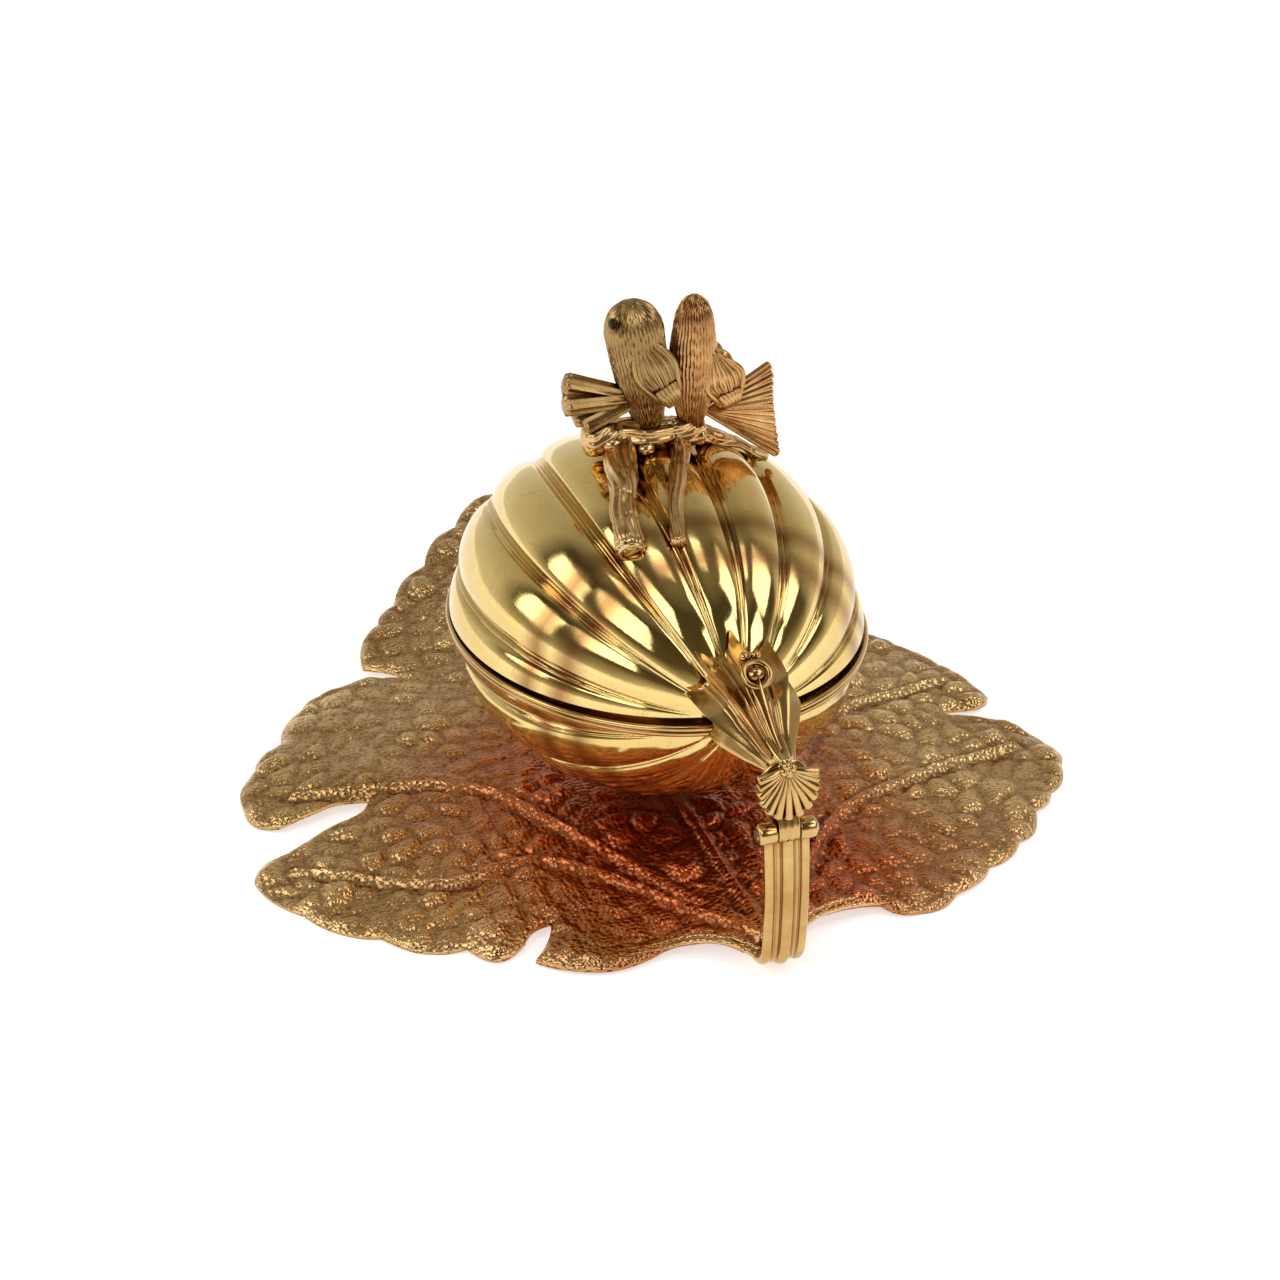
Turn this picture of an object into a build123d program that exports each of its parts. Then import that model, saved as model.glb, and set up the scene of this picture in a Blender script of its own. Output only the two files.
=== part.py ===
from build123d import *
import os
from math import atan2, cos, exp, pi, radians, sin, sqrt

# A gilt metal jewelry casket: a ribbed melon on a vine-leaf tray, its lid hinged on the melon's stem,
# with two birds on a cut twig as the lid's knob.
# Millimetres, Z up, origin on the table under the middle of the melon, hinge towards -Y.

# Melon: half sizes are taken to the bottom of the grooves
rim_height = 43.0
melon_half_width = 41.0
melon_half_length = 50.5
lid_rise = 36.0
bowl_depth = 33.4
lobe_count = 16
lobe_bulge = 1.6
shell_wall = 1.8

# Seam between bowl and lid
bead_height = 1.2
bead_count = 2
bead_overhang = 1.2
bead_step = 0.35
bead_bevel = 0.35
band_height = 1.0
band_inset = 0.9

# Leaf tray
leaf_thickness = 1.6
leaf_crown = 5.0
leaf_edge = 1.5
leaf_half_width = 88.0
leaf_front_reach = 80.0
leaf_back_reach = 86.0
leaf_middle_y = 5.0
back_lobe_start = 42.0
back_lobe_length = 88.0
back_lobe_rise = 11.5
back_lobe_droop = 0.0016
petiole_arch = 2.2
petiole_arch_width = 16.0
ripple_height = 0.7
ripple_length = 27.0
vein_height = 0.8
vein_width = 1.8
side_vein_width = 1.2
pad_radius = 12.5
pad_height = 0.5

# Foot collar and its screw
foot_inner_radius = 6.0
foot_outer_radius = 11.5
foot_screw_radius = 1.5
foot_screw_bite = 2.0
foot_head_radius = 3.2
foot_head_height = 1.4
washer_radius = 5.0
washer_thickness = 0.6

# Stem hinge
hinge_y = -78.0
hinge_drop = 10.0
pin_radius = 1.0
pin_play = 0.04
pin_proud = 0.3
knuckle_radius = 2.1
middle_knuckle_width = 4.2
outer_knuckle_width = 3.6
knuckle_gap = 0.2
swing_gap = 0.35
lid_opening = 95.0

# Lower stem: three reeds side by side
reed_radius = 1.75
reed_pitch = 2.9
stem_bow = 0.8
stem_knee_height = 8.0
stem_foot_height = 2.3
tongue_thickness = 1.2
tongue_width = 7.0
tongue_length = 13.0
stem_rivet_radius = 0.9
stem_rivet_head_radius = 1.7
stem_rivet_head_height = 0.7
stem_rivet_places = (3.5, 9.0)

# Calyx bell and the fluted shell over the hinge
calyx_rib_count = 6
calyx_stations = ((-54.5, 49.5, 10.5, 0.80), (-58.5, 49.6, 10.2, 0.80), (-65.0, 48.0, 6.2, 0.86), (-71.0, 46.2, 3.4, 0.92))
calyx_hub_rise = 8.2
calyx_hub_radius = 6.0
calyx_ring_radii = (2.6, 0.7)
calyx_ring_place = (0.0, -60.8, 57.6)
calyx_ring_normal = (0.0, -0.65, 0.76)
calyx_bead_radius = 1.0
calyx_bead_places = ((-1.0, -56.8, 59.5), (1.0, -56.8, 59.5))
rivet_radius = 1.2
rivet_head_radius = 2.3
rivet_head_height = 0.9
rivet_bite = 9.0
shell_ray_count = 11
shell_ray_spread = 75.0
shell_ray_root = 0.7
shell_ray_tip = 1.1
shell_ray_length = 9.2
shell_side_cut = 0.36
shell_front_y = -76.4
shell_root_rise = 2.6
shell_lean = 10.0
boss_size = 2.0

# Twig and its two screws: each limb is a row of points with the radius there
twig_limbs = (
    (((-14.0, 0.0, 83.8), 3.8), ((9.5, 0.0, 82.8), 3.1)),
    (((-7.0, 2.0, 81.6), 4.0), ((-11.2, -13.0, 78.6), 3.2), ((-14.5, -28.0, 72.2), 3.4)),
    (((5.5, 1.0, 81.0), 2.4), ((0.0, -14.0, 79.0), 1.9), ((-5.2, -30.5, 72.6), 1.8)),
    (((8.0, 0.5, 82.0), 2.6), ((17.5, 3.0, 77.2), 1.9), ((25.5, 5.0, 72.2), 2.1)),
)
finial_screw_radius = 1.1
finial_screw_head_radius = 2.4
finial_screw_head_height = 1.0
finial_screw_bite = 5.0
finial_screw_places = (-8.0, 4.0)

# Birds: each body is turned round a leaning line, given as radius and height above its foot
bird_left_foot = (-1.0, 0.0, 84.2)
bird_left_lean = -9.0
bird_left_profile = (
    (2.4, 0.0), (3.4, 3.0), (4.3, 6.6), (5.4, 11.0), (5.9, 15.5), (6.1, 20.0), (6.2, 24.0), (4.4, 27.4), (0.0, 28.8)
)
bird_left_wing = (-1.6, 4.2, 97.3)
bird_left_tail_root = (-4.0, 0.0, 91.5)
bird_left_tail_tips = ((-18.6, 0.0, 96.6), (-19.0, 0.0, 92.0), (-15.6, 0.0, 87.8))
bird_left_tail_radii = (1.6, 2.1)
bird_right_foot = (7.7, 0.0, 84.0)
bird_right_lean = 1.5
bird_right_profile = (
    (2.4, 0.0), (3.6, 4.0), (4.6, 9.0), (5.0, 14.0), (4.9, 17.0), (4.4, 21.0), (3.9, 24.0), (2.6, 27.0), (0.0, 28.4)
)
bird_right_wing = (11.4, 3.2, 96.0)
bird_right_tail_root = (10.2, 0.0, 87.2)
bird_right_tail_tips = (
    (24.2, 0.0, 94.6), (25.0, 0.0, 91.6), (25.5, 0.0, 88.5), (25.8, 0.0, 85.4), (26.0, 0.0, 82.3), (26.0, 0.0, 79.3),
    (25.8, 0.0, 76.4),
)
bird_right_tail_radii = (1.0, 1.7)
wing_size = (1.9, 4.0, 8.6)
wing_lean = -36.0
peg_radius = 0.8
peg_reach = 2.5
shaft_play = 0.02

# Foot nut
nut_radius = 3.2
nut_height = 2.2
screw_proud = 0.6

hinge_z = rim_height - hinge_drop
tall = 4 * rim_height


def melon_point(angle, half_width, rise, depth, share):
    # A point of one cross-section, at a true angle round the long axis
    height = rise if sin(angle) >= 0 else depth
    turn = atan2(sin(angle) / height, cos(angle) / half_width)
    return (half_width * share * cos(turn), height * share * sin(turn))


def melon_section(slice_angle):
    # The lobed outline square to the long axis: one arc for each lobe, the seam halfway up a lobe
    share = sin(slice_angle)
    middle = Plane(
        origin=(0, -melon_half_length * cos(slice_angle), rim_height), x_dir=(1, 0, 0), z_dir=(0, -1, 0)
    )
    lobe_angle = 2 * pi / lobe_count
    with BuildSketch(middle) as section:
        with BuildLine():
            for lobe in range(lobe_count):
                first = (lobe - 0.5) * lobe_angle
                grooves = [
                    melon_point(first + k * lobe_angle, melon_half_width, lid_rise, bowl_depth, share)
                    for k in (0, 1)
                ]
                crest = melon_point(
                    first + lobe_angle / 2,
                    melon_half_width + lobe_bulge,
                    lid_rise + lobe_bulge,
                    bowl_depth + lobe_bulge,
                    share,
                )
                ThreePointArc(grooves[0], crest, grooves[1])
        make_face()
    return section.sketch.face()


def melon_height(x, y, inset):
    # Height of the smooth upper ellipsoid that runs a given distance inside the groove bottoms
    across = x / (melon_half_width - inset)
    along = y / (melon_half_length - inset)
    return rim_height + (lid_rise - inset) * sqrt(1 - across**2 - along**2)


def tapered_bar(start, end, start_radius, end_radius):
    # A round bar between two points, added to the part that is open
    run = end - start
    with Locations(Plane(origin=start, z_dir=run)):
        Cone(start_radius, end_radius, run.length, align=(Align.CENTER, Align.CENTER, Align.MIN))


def leaf_top(x, y):
    # The tray is highest under the bowl and droops to its lobe tips; the back lobe lifts again
    reach = leaf_front_reach if y < leaf_middle_y else leaf_back_reach
    spread = (x / leaf_half_width) ** 2 + ((y - leaf_middle_y) / reach) ** 2
    blade = leaf_edge + leaf_crown * (1 - spread)
    along = min(max((y - back_lobe_start) / (back_lobe_length / 2), 0), 1)
    blend = along * along * (3 - 2 * along)
    far = max(y - back_lobe_start, 0) / back_lobe_length
    lobe = leaf_edge + leaf_crown * 0.7 + back_lobe_rise * far**1.6 - back_lobe_droop * x * x
    arch = petiole_arch * exp(-(x**2 + (y - petiole_y) ** 2) / petiole_arch_width**2)
    outward = min(spread, 1)
    ripple = ripple_height * outward * sin(2 * pi * x / ripple_length) * sin(2 * pi * y / ripple_length)
    return (1 - blend) * blade + blend * lobe + arch + ripple


petiole_y = -70.5
leaf_span_x = (-96.0, 96.0)
leaf_span_y = (-86.0, 138.0)
leaf_grid = 8.0

# Underside of the leaf as one smooth surface
leaf_rows = []
for column in range(int((leaf_span_x[1] - leaf_span_x[0]) / leaf_grid) + 1):
    grid_x = leaf_span_x[0] + column * leaf_grid
    leaf_rows.append([])
    for row in range(int((leaf_span_y[1] - leaf_span_y[0]) / leaf_grid) + 1):
        grid_y = leaf_span_y[0] + row * leaf_grid
        leaf_rows[-1].append(Vector(grid_x, grid_y, leaf_top(grid_x, grid_y) - leaf_thickness))
leaf_underside = Face.make_surface_from_array_of_points(leaf_rows, tol=0.02, min_deg=3, max_deg=3)

# Leaf margin, from the petiole round by the left: each corner and how far the edge swells to the next
leaf_margin = [
    (-5.5, -70.5, -1.0),
    (-14.0, -64.5, -0.6),
    (-20.0, -64.0, 5.0),
    (-44.0, -58.5, -1.0),
    (-38.0, -48.5, -1.0),
    (-44.5, -53.0, 4.5),
    (-55.5, -50.0, 2.6),
    (-70.5, -40.5, 2.0),
    (-83.0, -27.0, 1.5),
    (-90.0, -11.5, 1.4),
    (-82.0, -5.0, 0.8),
    (-66.0, 3.5, -0.8),
    (-61.0, 9.5, -1.0),
    (-69.5, 10.5, 0.6),
    (-81.0, 7.0, 2.0),
    (-86.5, 17.0, 1.8),
    (-81.0, 33.0, 1.4),
    (-73.0, 43.0, 1.8),
    (-65.0, 59.0, 2.0),
    (-54.0, 66.0, 1.0),
    (-39.0, 62.0, -0.6),
    (-47.5, 72.0, 2.2),
    (-40.5, 86.0, 1.2),
    (-35.0, 92.5, 1.6),
    (-24.0, 105.5, 1.8),
    (-13.0, 118.0, 2.4),
    (2.0, 130.0, 2.4),
    (15.0, 120.0, 1.8),
    (26.0, 108.0, 1.8),
    (36.0, 95.0, 1.4),
    (43.0, 84.0, 2.0),
    (49.0, 72.0, -0.6),
    (41.0, 62.0, 1.0),
    (56.0, 65.0, 1.8),
    (67.0, 56.0, 1.8),
    (75.0, 44.0, 1.6),
    (81.0, 32.0, 1.6),
    (85.0, 14.0, 0.8),
    (80.0, 9.5, -0.4),
    (70.0, 9.0, -0.4),
    (81.0, 3.5, 1.6),
    (88.5, -9.0, 1.8),
    (87.0, -20.0, 1.5),
    (80.0, -29.5, 1.3),
    (73.0, -36.5, 1.8),
    (64.5, -47.0, 1.5),
    (54.5, -54.0, 1.5),
    (43.5, -62.0, 1.4),
    (34.0, -65.5, 1.3),
    (27.0, -62.0, -0.5),
    (12.0, -63.5, -1.0),
    (5.5, -70.5, 0.0),
]

# Five main veins from the petiole and the side veins that fork from them
main_veins = [
    [(0, -70.5), (0, -10), (2, 60), (2, 122)],
    [(0, -70.5), (-31, -31), (-56, -29), (-82, -13)],
    [(0, -70.5), (-27, -18), (-42, 5), (-76, 17)],
    [(0, -70.5), (28, -33), (52, -20), (80, -11)],
    [(0, -70.5), (24, -20), (44, 10), (78, 22)],
]
side_veins = [
    [(-40, 6), (-54, 20), (-62, 52)],
    [(-43, -29), (-56, -40), (-66, -42)],
    [(38, 2), (54, 30), (60, 55)],
    [(40, -26), (52, -38), (56, -48)],
    [(2, 40), (-20, 62), (-30, 84)],
    [(2, 40), (24, 62), (33, 84)],
    [(2, 70), (-10, 88), (-16, 106)],
    [(2, 70), (14, 88), (20, 104)],
]

with BuildPart() as veins:
    extrude(to_extrude=leaf_underside, amount=leaf_thickness + vein_height, dir=(0, 0, 1))
    with BuildSketch(Plane.XY.offset(-tall)):
        for vein in main_veins:
            with BuildLine():
                Spline(*vein)
            trace(line_width=vein_width)
        for vein in side_veins:
            with BuildLine():
                Spline(*vein)
            trace(line_width=side_vein_width)
    extrude(amount=2 * tall, mode=Mode.INTERSECT)

leaf_crown_height = leaf_top(0, 0)
seat_height = leaf_crown_height + pad_height

with BuildPart() as leaf_tray:
    extrude(to_extrude=leaf_underside, amount=leaf_thickness, dir=(0, 0, 1))
    add(veins.part)
    with BuildSketch(Plane.XY.offset(-tall)):
        with BuildLine():
            for index, (x, y, swell) in enumerate(leaf_margin):
                following = leaf_margin[(index + 1) % len(leaf_margin)]
                if swell:
                    SagittaArc((x, y), following[:2], swell)
                else:
                    Line((x, y), following[:2])
        make_face()
    extrude(amount=2 * tall, mode=Mode.INTERSECT)
    split(bisect_by=Plane.XY, keep=Keep.TOP)
    with BuildSketch(Plane.XY.offset(leaf_crown_height - leaf_thickness)):
        Circle(pad_radius)
    extrude(amount=leaf_thickness + pad_height)
    with BuildSketch(Plane.XY.offset(seat_height)):
        Circle(pad_radius)
    extrude(amount=vein_height, mode=Mode.SUBTRACT)
    with BuildSketch(Plane.XY.offset(leaf_crown_height - leaf_thickness)):
        Circle(pad_radius)
    extrude(amount=-leaf_thickness, mode=Mode.SUBTRACT)
    with BuildSketch(Plane.XY.offset(-tall)):
        Circle(foot_screw_radius + shaft_play)
        for place in stem_rivet_places:
            with Locations((0, petiole_y + place)):
                Circle(stem_rivet_radius + shaft_play)
    extrude(amount=2 * tall, mode=Mode.SUBTRACT)

# The whole melon, solid, from which both shells and every seat against them are cut
slice_angles = [7, 18, 33, 50, 70, 90, 110, 130, 147, 162, 173]
with BuildPart() as melon:
    loft(
        sections=[Vertex(0, -melon_half_length, rim_height)]
        + [melon_section(radians(angle)) for angle in slice_angles]
        + [Vertex(0, melon_half_length, rim_height)]
    )

inner_width = melon_half_width - shell_wall
inner_length = melon_half_length - shell_wall
with BuildPart() as lid_hollow:
    Sphere(1)
    scale(by=(inner_width, inner_length, lid_rise - shell_wall))
with BuildPart() as bowl_hollow:
    Sphere(1)
    scale(by=(inner_width, inner_length, bowl_depth - shell_wall))

rim_bottom = rim_height - bead_count * bead_height
lid_bottom = rim_height + band_height
bowl_floor = rim_height - bowl_depth + shell_wall
leaf_center_bottom = leaf_crown_height - leaf_thickness

with BuildPart() as bowl:
    add(melon.part)
    split(bisect_by=Plane.XY.offset(rim_bottom), keep=Keep.BOTTOM)
    with Locations((0, 0, rim_height)):
        add(bowl_hollow.part, mode=Mode.SUBTRACT)
    with BuildSketch(Plane.XY.offset(-tall)):
        Circle(foot_screw_radius + shaft_play)
    extrude(amount=2 * tall, mode=Mode.SUBTRACT)
    with BuildSketch(Plane.XY.offset(bowl_floor)):
        Circle(foot_head_radius + shaft_play)
    extrude(amount=foot_head_height, mode=Mode.SUBTRACT)

# Two bevelled beads make the bowl's edge, the upper one standing out further
rim_beads = []
for bead in range(bead_count):
    overhang = lobe_bulge + bead_overhang - bead * bead_step
    with BuildPart() as rim_bead:
        with BuildSketch(Plane.XY.offset(rim_height - (bead + 1) * bead_height)):
            Ellipse(melon_half_width + overhang, melon_half_length + overhang)
        extrude(amount=bead_height)
        chamfer(rim_bead.edges().filter_by(GeomType.LINE, reverse=True), bead_height * bead_bevel)
    rim_beads.append(rim_bead.part)

with BuildPart() as bowl_rim:
    add(rim_beads)
    with Locations((0, 0, rim_height)):
        add(bowl_hollow.part, mode=Mode.SUBTRACT)

with BuildPart() as bowl_foot:
    with BuildSketch(Plane.XY.offset(seat_height)):
        Circle(foot_outer_radius)
        Circle(foot_inner_radius, mode=Mode.SUBTRACT)
    extrude(amount=rim_height - bowl_depth)
    add(melon.part, mode=Mode.SUBTRACT)

nut_top = leaf_center_bottom - washer_thickness
with BuildPart() as leaf_washer:
    with BuildSketch(Plane.XY.offset(nut_top)):
        Circle(washer_radius)
        Circle(foot_screw_radius + shaft_play, mode=Mode.SUBTRACT)
    extrude(amount=washer_thickness)

with BuildPart() as leaf_nut:
    with BuildSketch(Plane.XY.offset(nut_top - nut_height)):
        RegularPolygon(nut_radius, 6)
        Circle(foot_screw_radius + shaft_play, mode=Mode.SUBTRACT)
    extrude(amount=nut_height)

screw_end = nut_top - nut_height - screw_proud
with BuildPart() as bowl_screw:
    with BuildSketch(Plane.XY.offset(screw_end)):
        Circle(foot_screw_radius)
    extrude(amount=bowl_floor - screw_end)
    with BuildSketch(Plane.XY.offset(bowl_floor)):
        Circle(foot_head_radius)
    extrude(amount=foot_head_height)

# Lower half of the stem: reeds down to the leaf, a tongue under it and the hinge's two outer knuckles
outer_knuckle_start = middle_knuckle_width / 2 + knuckle_gap
hinge_half_width = outer_knuckle_start + outer_knuckle_width
hinge_plane = Plane(origin=(0, hinge_y, hinge_z), x_dir=(0, 1, 0), z_dir=(1, 0, 0))
reed_top = hinge_z - knuckle_radius / 2

with BuildPart() as tongue:
    extrude(to_extrude=leaf_underside, amount=tongue_thickness, dir=(0, 0, -1))
    with BuildSketch(Plane.XY.offset(-tall)):
        with Locations((0, petiole_y - reed_radius / 2)):
            Rectangle(tongue_width, tongue_length, align=(Align.CENTER, Align.MIN))
    extrude(amount=2 * tall, mode=Mode.INTERSECT)

with BuildPart() as lower_stem:
    with BuildLine(Plane.YZ) as stem_line:
        stem_upright = ThreePointArc(
            (hinge_y, reed_top),
            (hinge_y - stem_bow, (reed_top + stem_knee_height) / 2),
            (hinge_y, stem_knee_height),
        )
        TangentArc(stem_upright @ 1, (petiole_y, stem_foot_height), tangent=stem_upright % 1)
    with BuildSketch(Plane.XY.offset(reed_top)):
        with Locations((-reed_pitch, hinge_y), (0, hinge_y), (reed_pitch, hinge_y)):
            Circle(reed_radius)
    sweep(path=stem_line.line)
    add(tongue.part)
    with BuildSketch(hinge_plane.offset(-hinge_half_width)):
        Circle(knuckle_radius)
    extrude(amount=2 * hinge_half_width)
    with BuildSketch(hinge_plane.offset(-outer_knuckle_start)):
        Circle(knuckle_radius + swing_gap)
        Rectangle(
            2 * (knuckle_radius + swing_gap), hinge_drop, rotation=lid_opening, align=(Align.CENTER, Align.MIN)
        )
    extrude(amount=2 * outer_knuckle_start, mode=Mode.SUBTRACT)
    with BuildSketch(hinge_plane.offset(-hinge_half_width)):
        Circle(pin_radius + shaft_play)
    extrude(amount=2 * hinge_half_width, mode=Mode.SUBTRACT)
    with BuildSketch(Plane.XY.offset(-tall)):
        for place in stem_rivet_places:
            with Locations((0, petiole_y + place)):
                Circle(stem_rivet_radius + shaft_play)
    extrude(amount=2 * tall, mode=Mode.SUBTRACT)

stem_rivets = []
for place in stem_rivet_places:
    rivet_y = petiole_y + place
    leaf_face = leaf_top(0, rivet_y) + vein_height
    rivet_seat = leaf_face - vein_height - leaf_thickness - tongue_thickness
    with BuildPart() as stem_rivet:
        with BuildSketch(Plane.XY.offset(rivet_seat)):
            with Locations((0, rivet_y)):
                Circle(stem_rivet_radius)
        extrude(amount=leaf_face - rivet_seat)
        with BuildSketch(Plane.XY.offset(rivet_seat)):
            with Locations((0, rivet_y)):
                Circle(stem_rivet_head_radius)
        extrude(amount=-stem_rivet_head_height)
        add(lower_stem.part, mode=Mode.SUBTRACT)
    stem_rivets.append(stem_rivet)

with BuildPart() as hinge_pin:
    with BuildSketch(hinge_plane.offset(-hinge_half_width - pin_proud)):
        Circle(pin_radius)
    extrude(amount=2 * (hinge_half_width + pin_proud))

# Lid with its seats for the screws, and the recessed band under its edge
with BuildPart() as lid_solid:
    add(melon.part)
    split(bisect_by=Plane.XY.offset(lid_bottom), keep=Keep.TOP)

lid_screw_seats = [melon_height(place, 0, shell_wall) for place in finial_screw_places]
hub_z = rim_height + calyx_hub_rise
calyx_rivet_seat = -inner_length * sqrt(1 - (calyx_hub_rise / (lid_rise - shell_wall)) ** 2)
rivet_plane = Plane(origin=(0, calyx_rivet_seat, hub_z), x_dir=(1, 0, 0), z_dir=(0, -1, 0))
with BuildPart() as lid:
    add(lid_solid.part)
    with Locations((0, 0, rim_height)):
        add(lid_hollow.part, mode=Mode.SUBTRACT)
    for place, seat in zip(finial_screw_places, lid_screw_seats):
        with Locations((place, 0, seat)):
            Hole(finial_screw_radius + shaft_play)
        with BuildSketch(Plane.XY.offset(seat)):
            with Locations((place, 0)):
                Circle(finial_screw_head_radius + shaft_play)
        extrude(amount=-shell_wall, mode=Mode.SUBTRACT)
    with BuildSketch(rivet_plane):
        Circle(rivet_radius + shaft_play)
    extrude(amount=rivet_bite, mode=Mode.SUBTRACT)
    with BuildSketch(rivet_plane):
        Circle(rivet_head_radius + shaft_play)
    extrude(amount=-shell_wall, mode=Mode.SUBTRACT)

with BuildPart() as lid_band:
    with BuildSketch(Plane.XY.offset(rim_height)):
        Ellipse(melon_half_width - band_inset, melon_half_length - band_inset)
        Ellipse(inner_width, inner_length, mode=Mode.SUBTRACT)
    extrude(amount=band_height)

# Calyx: a ribbed bell behind the lid's end, with a hub that fills it back to the lid
calyx_faces = []
for place, height, radius, waist in calyx_stations:
    with BuildSketch(Plane(origin=(0, place, height), x_dir=(1, 0, 0), z_dir=(0, -1, 0))) as calyx_section:
        with BuildLine():
            for rib in range(calyx_rib_count):
                ends = [radians(90 + (rib + k) * 360 / calyx_rib_count) for k in (0, 0.5, 1)]
                reach = (radius, radius * waist, radius)
                ThreePointArc(*[(r * cos(a), r * sin(a)) for a, r in zip(ends, reach)])
        make_face()
    calyx_faces.append(calyx_section.sketch.face())

with BuildPart() as calyx:
    loft(sections=calyx_faces)
    with BuildSketch(Plane(origin=(0, calyx_stations[0][0], hub_z), x_dir=(1, 0, 0), z_dir=(0, 1, 0))):
        Circle(calyx_hub_radius)
    extrude(amount=melon_half_length / 4)
    with Locations(Plane(origin=calyx_ring_place, z_dir=calyx_ring_normal)):
        Torus(*calyx_ring_radii)
    with Locations(*calyx_bead_places):
        Sphere(calyx_bead_radius)
    add(lid_solid.part, mode=Mode.SUBTRACT)
    with BuildSketch(rivet_plane):
        Circle(rivet_radius + shaft_play)
    extrude(amount=rivet_bite, mode=Mode.SUBTRACT)

with BuildPart() as calyx_rivet:
    with BuildSketch(rivet_plane):
        Circle(rivet_radius)
    extrude(amount=rivet_bite)
    with BuildSketch(rivet_plane):
        Circle(rivet_head_radius)
    extrude(amount=-rivet_head_height)

# Upper half of the stem: a fluted shell over the hinge, with the middle knuckle behind it
shell_root = Vector(0, shell_front_y, rim_height + shell_root_rise)
with BuildPart() as upper_stem:
    for ray in range(shell_ray_count):
        turn = radians(shell_ray_spread * (2 * ray / (shell_ray_count - 1) - 1))
        reach = shell_ray_length * (1 - shell_side_cut * sin(turn) ** 2)
        run = Vector(sin(turn), -sin(radians(shell_lean)), -cos(turn)) * reach
        tapered_bar(shell_root, shell_root + run, shell_ray_root, shell_ray_tip)
        with Locations(shell_root + run):
            Sphere(shell_ray_tip)
    neck_end = Vector(0, calyx_stations[-1][0], calyx_stations[-1][1])
    tapered_bar(neck_end, shell_root, calyx_stations[-1][2] * calyx_stations[-1][3], boss_size)
    with Locations(shell_root):
        Sphere(boss_size)
    add(calyx.part, mode=Mode.SUBTRACT)
    with BuildSketch(hinge_plane.offset(-middle_knuckle_width / 2)):
        Circle(knuckle_radius)
        Rectangle(2 * knuckle_radius, hinge_drop, align=(Align.CENTER, Align.MIN))
    extrude(amount=middle_knuckle_width)
    with BuildSketch(hinge_plane.offset(-hinge_half_width)):
        Circle(pin_radius + pin_play)
    extrude(amount=2 * hinge_half_width, mode=Mode.SUBTRACT)

# Twig: a branch across the lid's top and three limbs that lie on the lid
bird_feet = (bird_left_foot, bird_right_foot)
with BuildPart() as twig:
    for stations in twig_limbs:
        for (start, start_radius), (end, end_radius) in zip(stations, stations[1:]):
            tapered_bar(Vector(*start), Vector(*end), start_radius, end_radius)
        for point, radius in stations[:-1]:
            with Locations(point):
                Sphere(radius)
    add(lid_solid.part, mode=Mode.SUBTRACT)
    for place, seat in zip(finial_screw_places, lid_screw_seats):
        with BuildSketch(Plane.XY.offset(seat)):
            with Locations((place, 0)):
                Circle(finial_screw_radius + shaft_play)
        extrude(amount=finial_screw_bite, mode=Mode.SUBTRACT)
with BuildPart() as drilled_twig:
    add(twig.part)
    for x, y, z in bird_feet:
        with BuildSketch(Plane.XY.offset(z - peg_reach)):
            with Locations((x, y)):
                Circle(peg_radius + shaft_play)
        extrude(amount=tall, mode=Mode.SUBTRACT)

finial_screws = []
for place, seat in zip(finial_screw_places, lid_screw_seats):
    with BuildPart() as finial_screw:
        with BuildSketch(Plane.XY.offset(seat)):
            with Locations((place, 0)):
                Circle(finial_screw_radius)
        extrude(amount=finial_screw_bite)
        with BuildSketch(Plane.XY.offset(seat)):
            with Locations((place, 0)):
                Circle(finial_screw_head_radius)
        extrude(amount=-finial_screw_head_height)
    finial_screws.append(finial_screw)

with BuildPart() as wing:
    Sphere(1)
    scale(by=wing_size)


def turned_body(profile, foot, lean):
    # A bird's body: the profile turned once and set on its foot at its lean
    with BuildPart() as body:
        with BuildSketch(Plane.XZ):
            with BuildLine():
                Spline(*profile)
                Polyline(profile[-1], (0, 0), profile[0])
            make_face()
        revolve(axis=Axis.Z)
    return body.part.moved(Location(foot, (0, lean, 0)))


def bird_around(body, foot, wing_place, tail_root, tail_tips, tail_radii):
    # Wings on both flanks, a fan of tail rays, a saddle cut by the twig and a peg down into it
    x, y, z = wing_place
    with BuildPart() as bird:
        add(body)
        for flank in (-1, 1):
            add(wing.part.moved(Location((x, flank * y, z), (0, wing_lean, 0)) * Location((0, 0, 0), (0, 0, 90))))
        for tip in tail_tips:
            tapered_bar(Vector(*tail_root), Vector(*tip), *tail_radii)
            with Locations(tip):
                Sphere(tail_radii[1])
        add(twig.part, mode=Mode.SUBTRACT)
        with BuildSketch(Plane.XY.offset(foot[2] - peg_reach)):
            with Locations(foot[:2]):
                Circle(peg_radius)
        extrude(amount=3 * peg_reach)
    return bird


bird_left = bird_around(
    turned_body(bird_left_profile, bird_left_foot, bird_left_lean),
    bird_left_foot, bird_left_wing, bird_left_tail_root, bird_left_tail_tips, bird_left_tail_radii,
)
bird_right = bird_around(
    turned_body(bird_right_profile, bird_right_foot, bird_right_lean),
    bird_right_foot, bird_right_wing, bird_right_tail_root, bird_right_tail_tips, bird_right_tail_radii,
)

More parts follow.
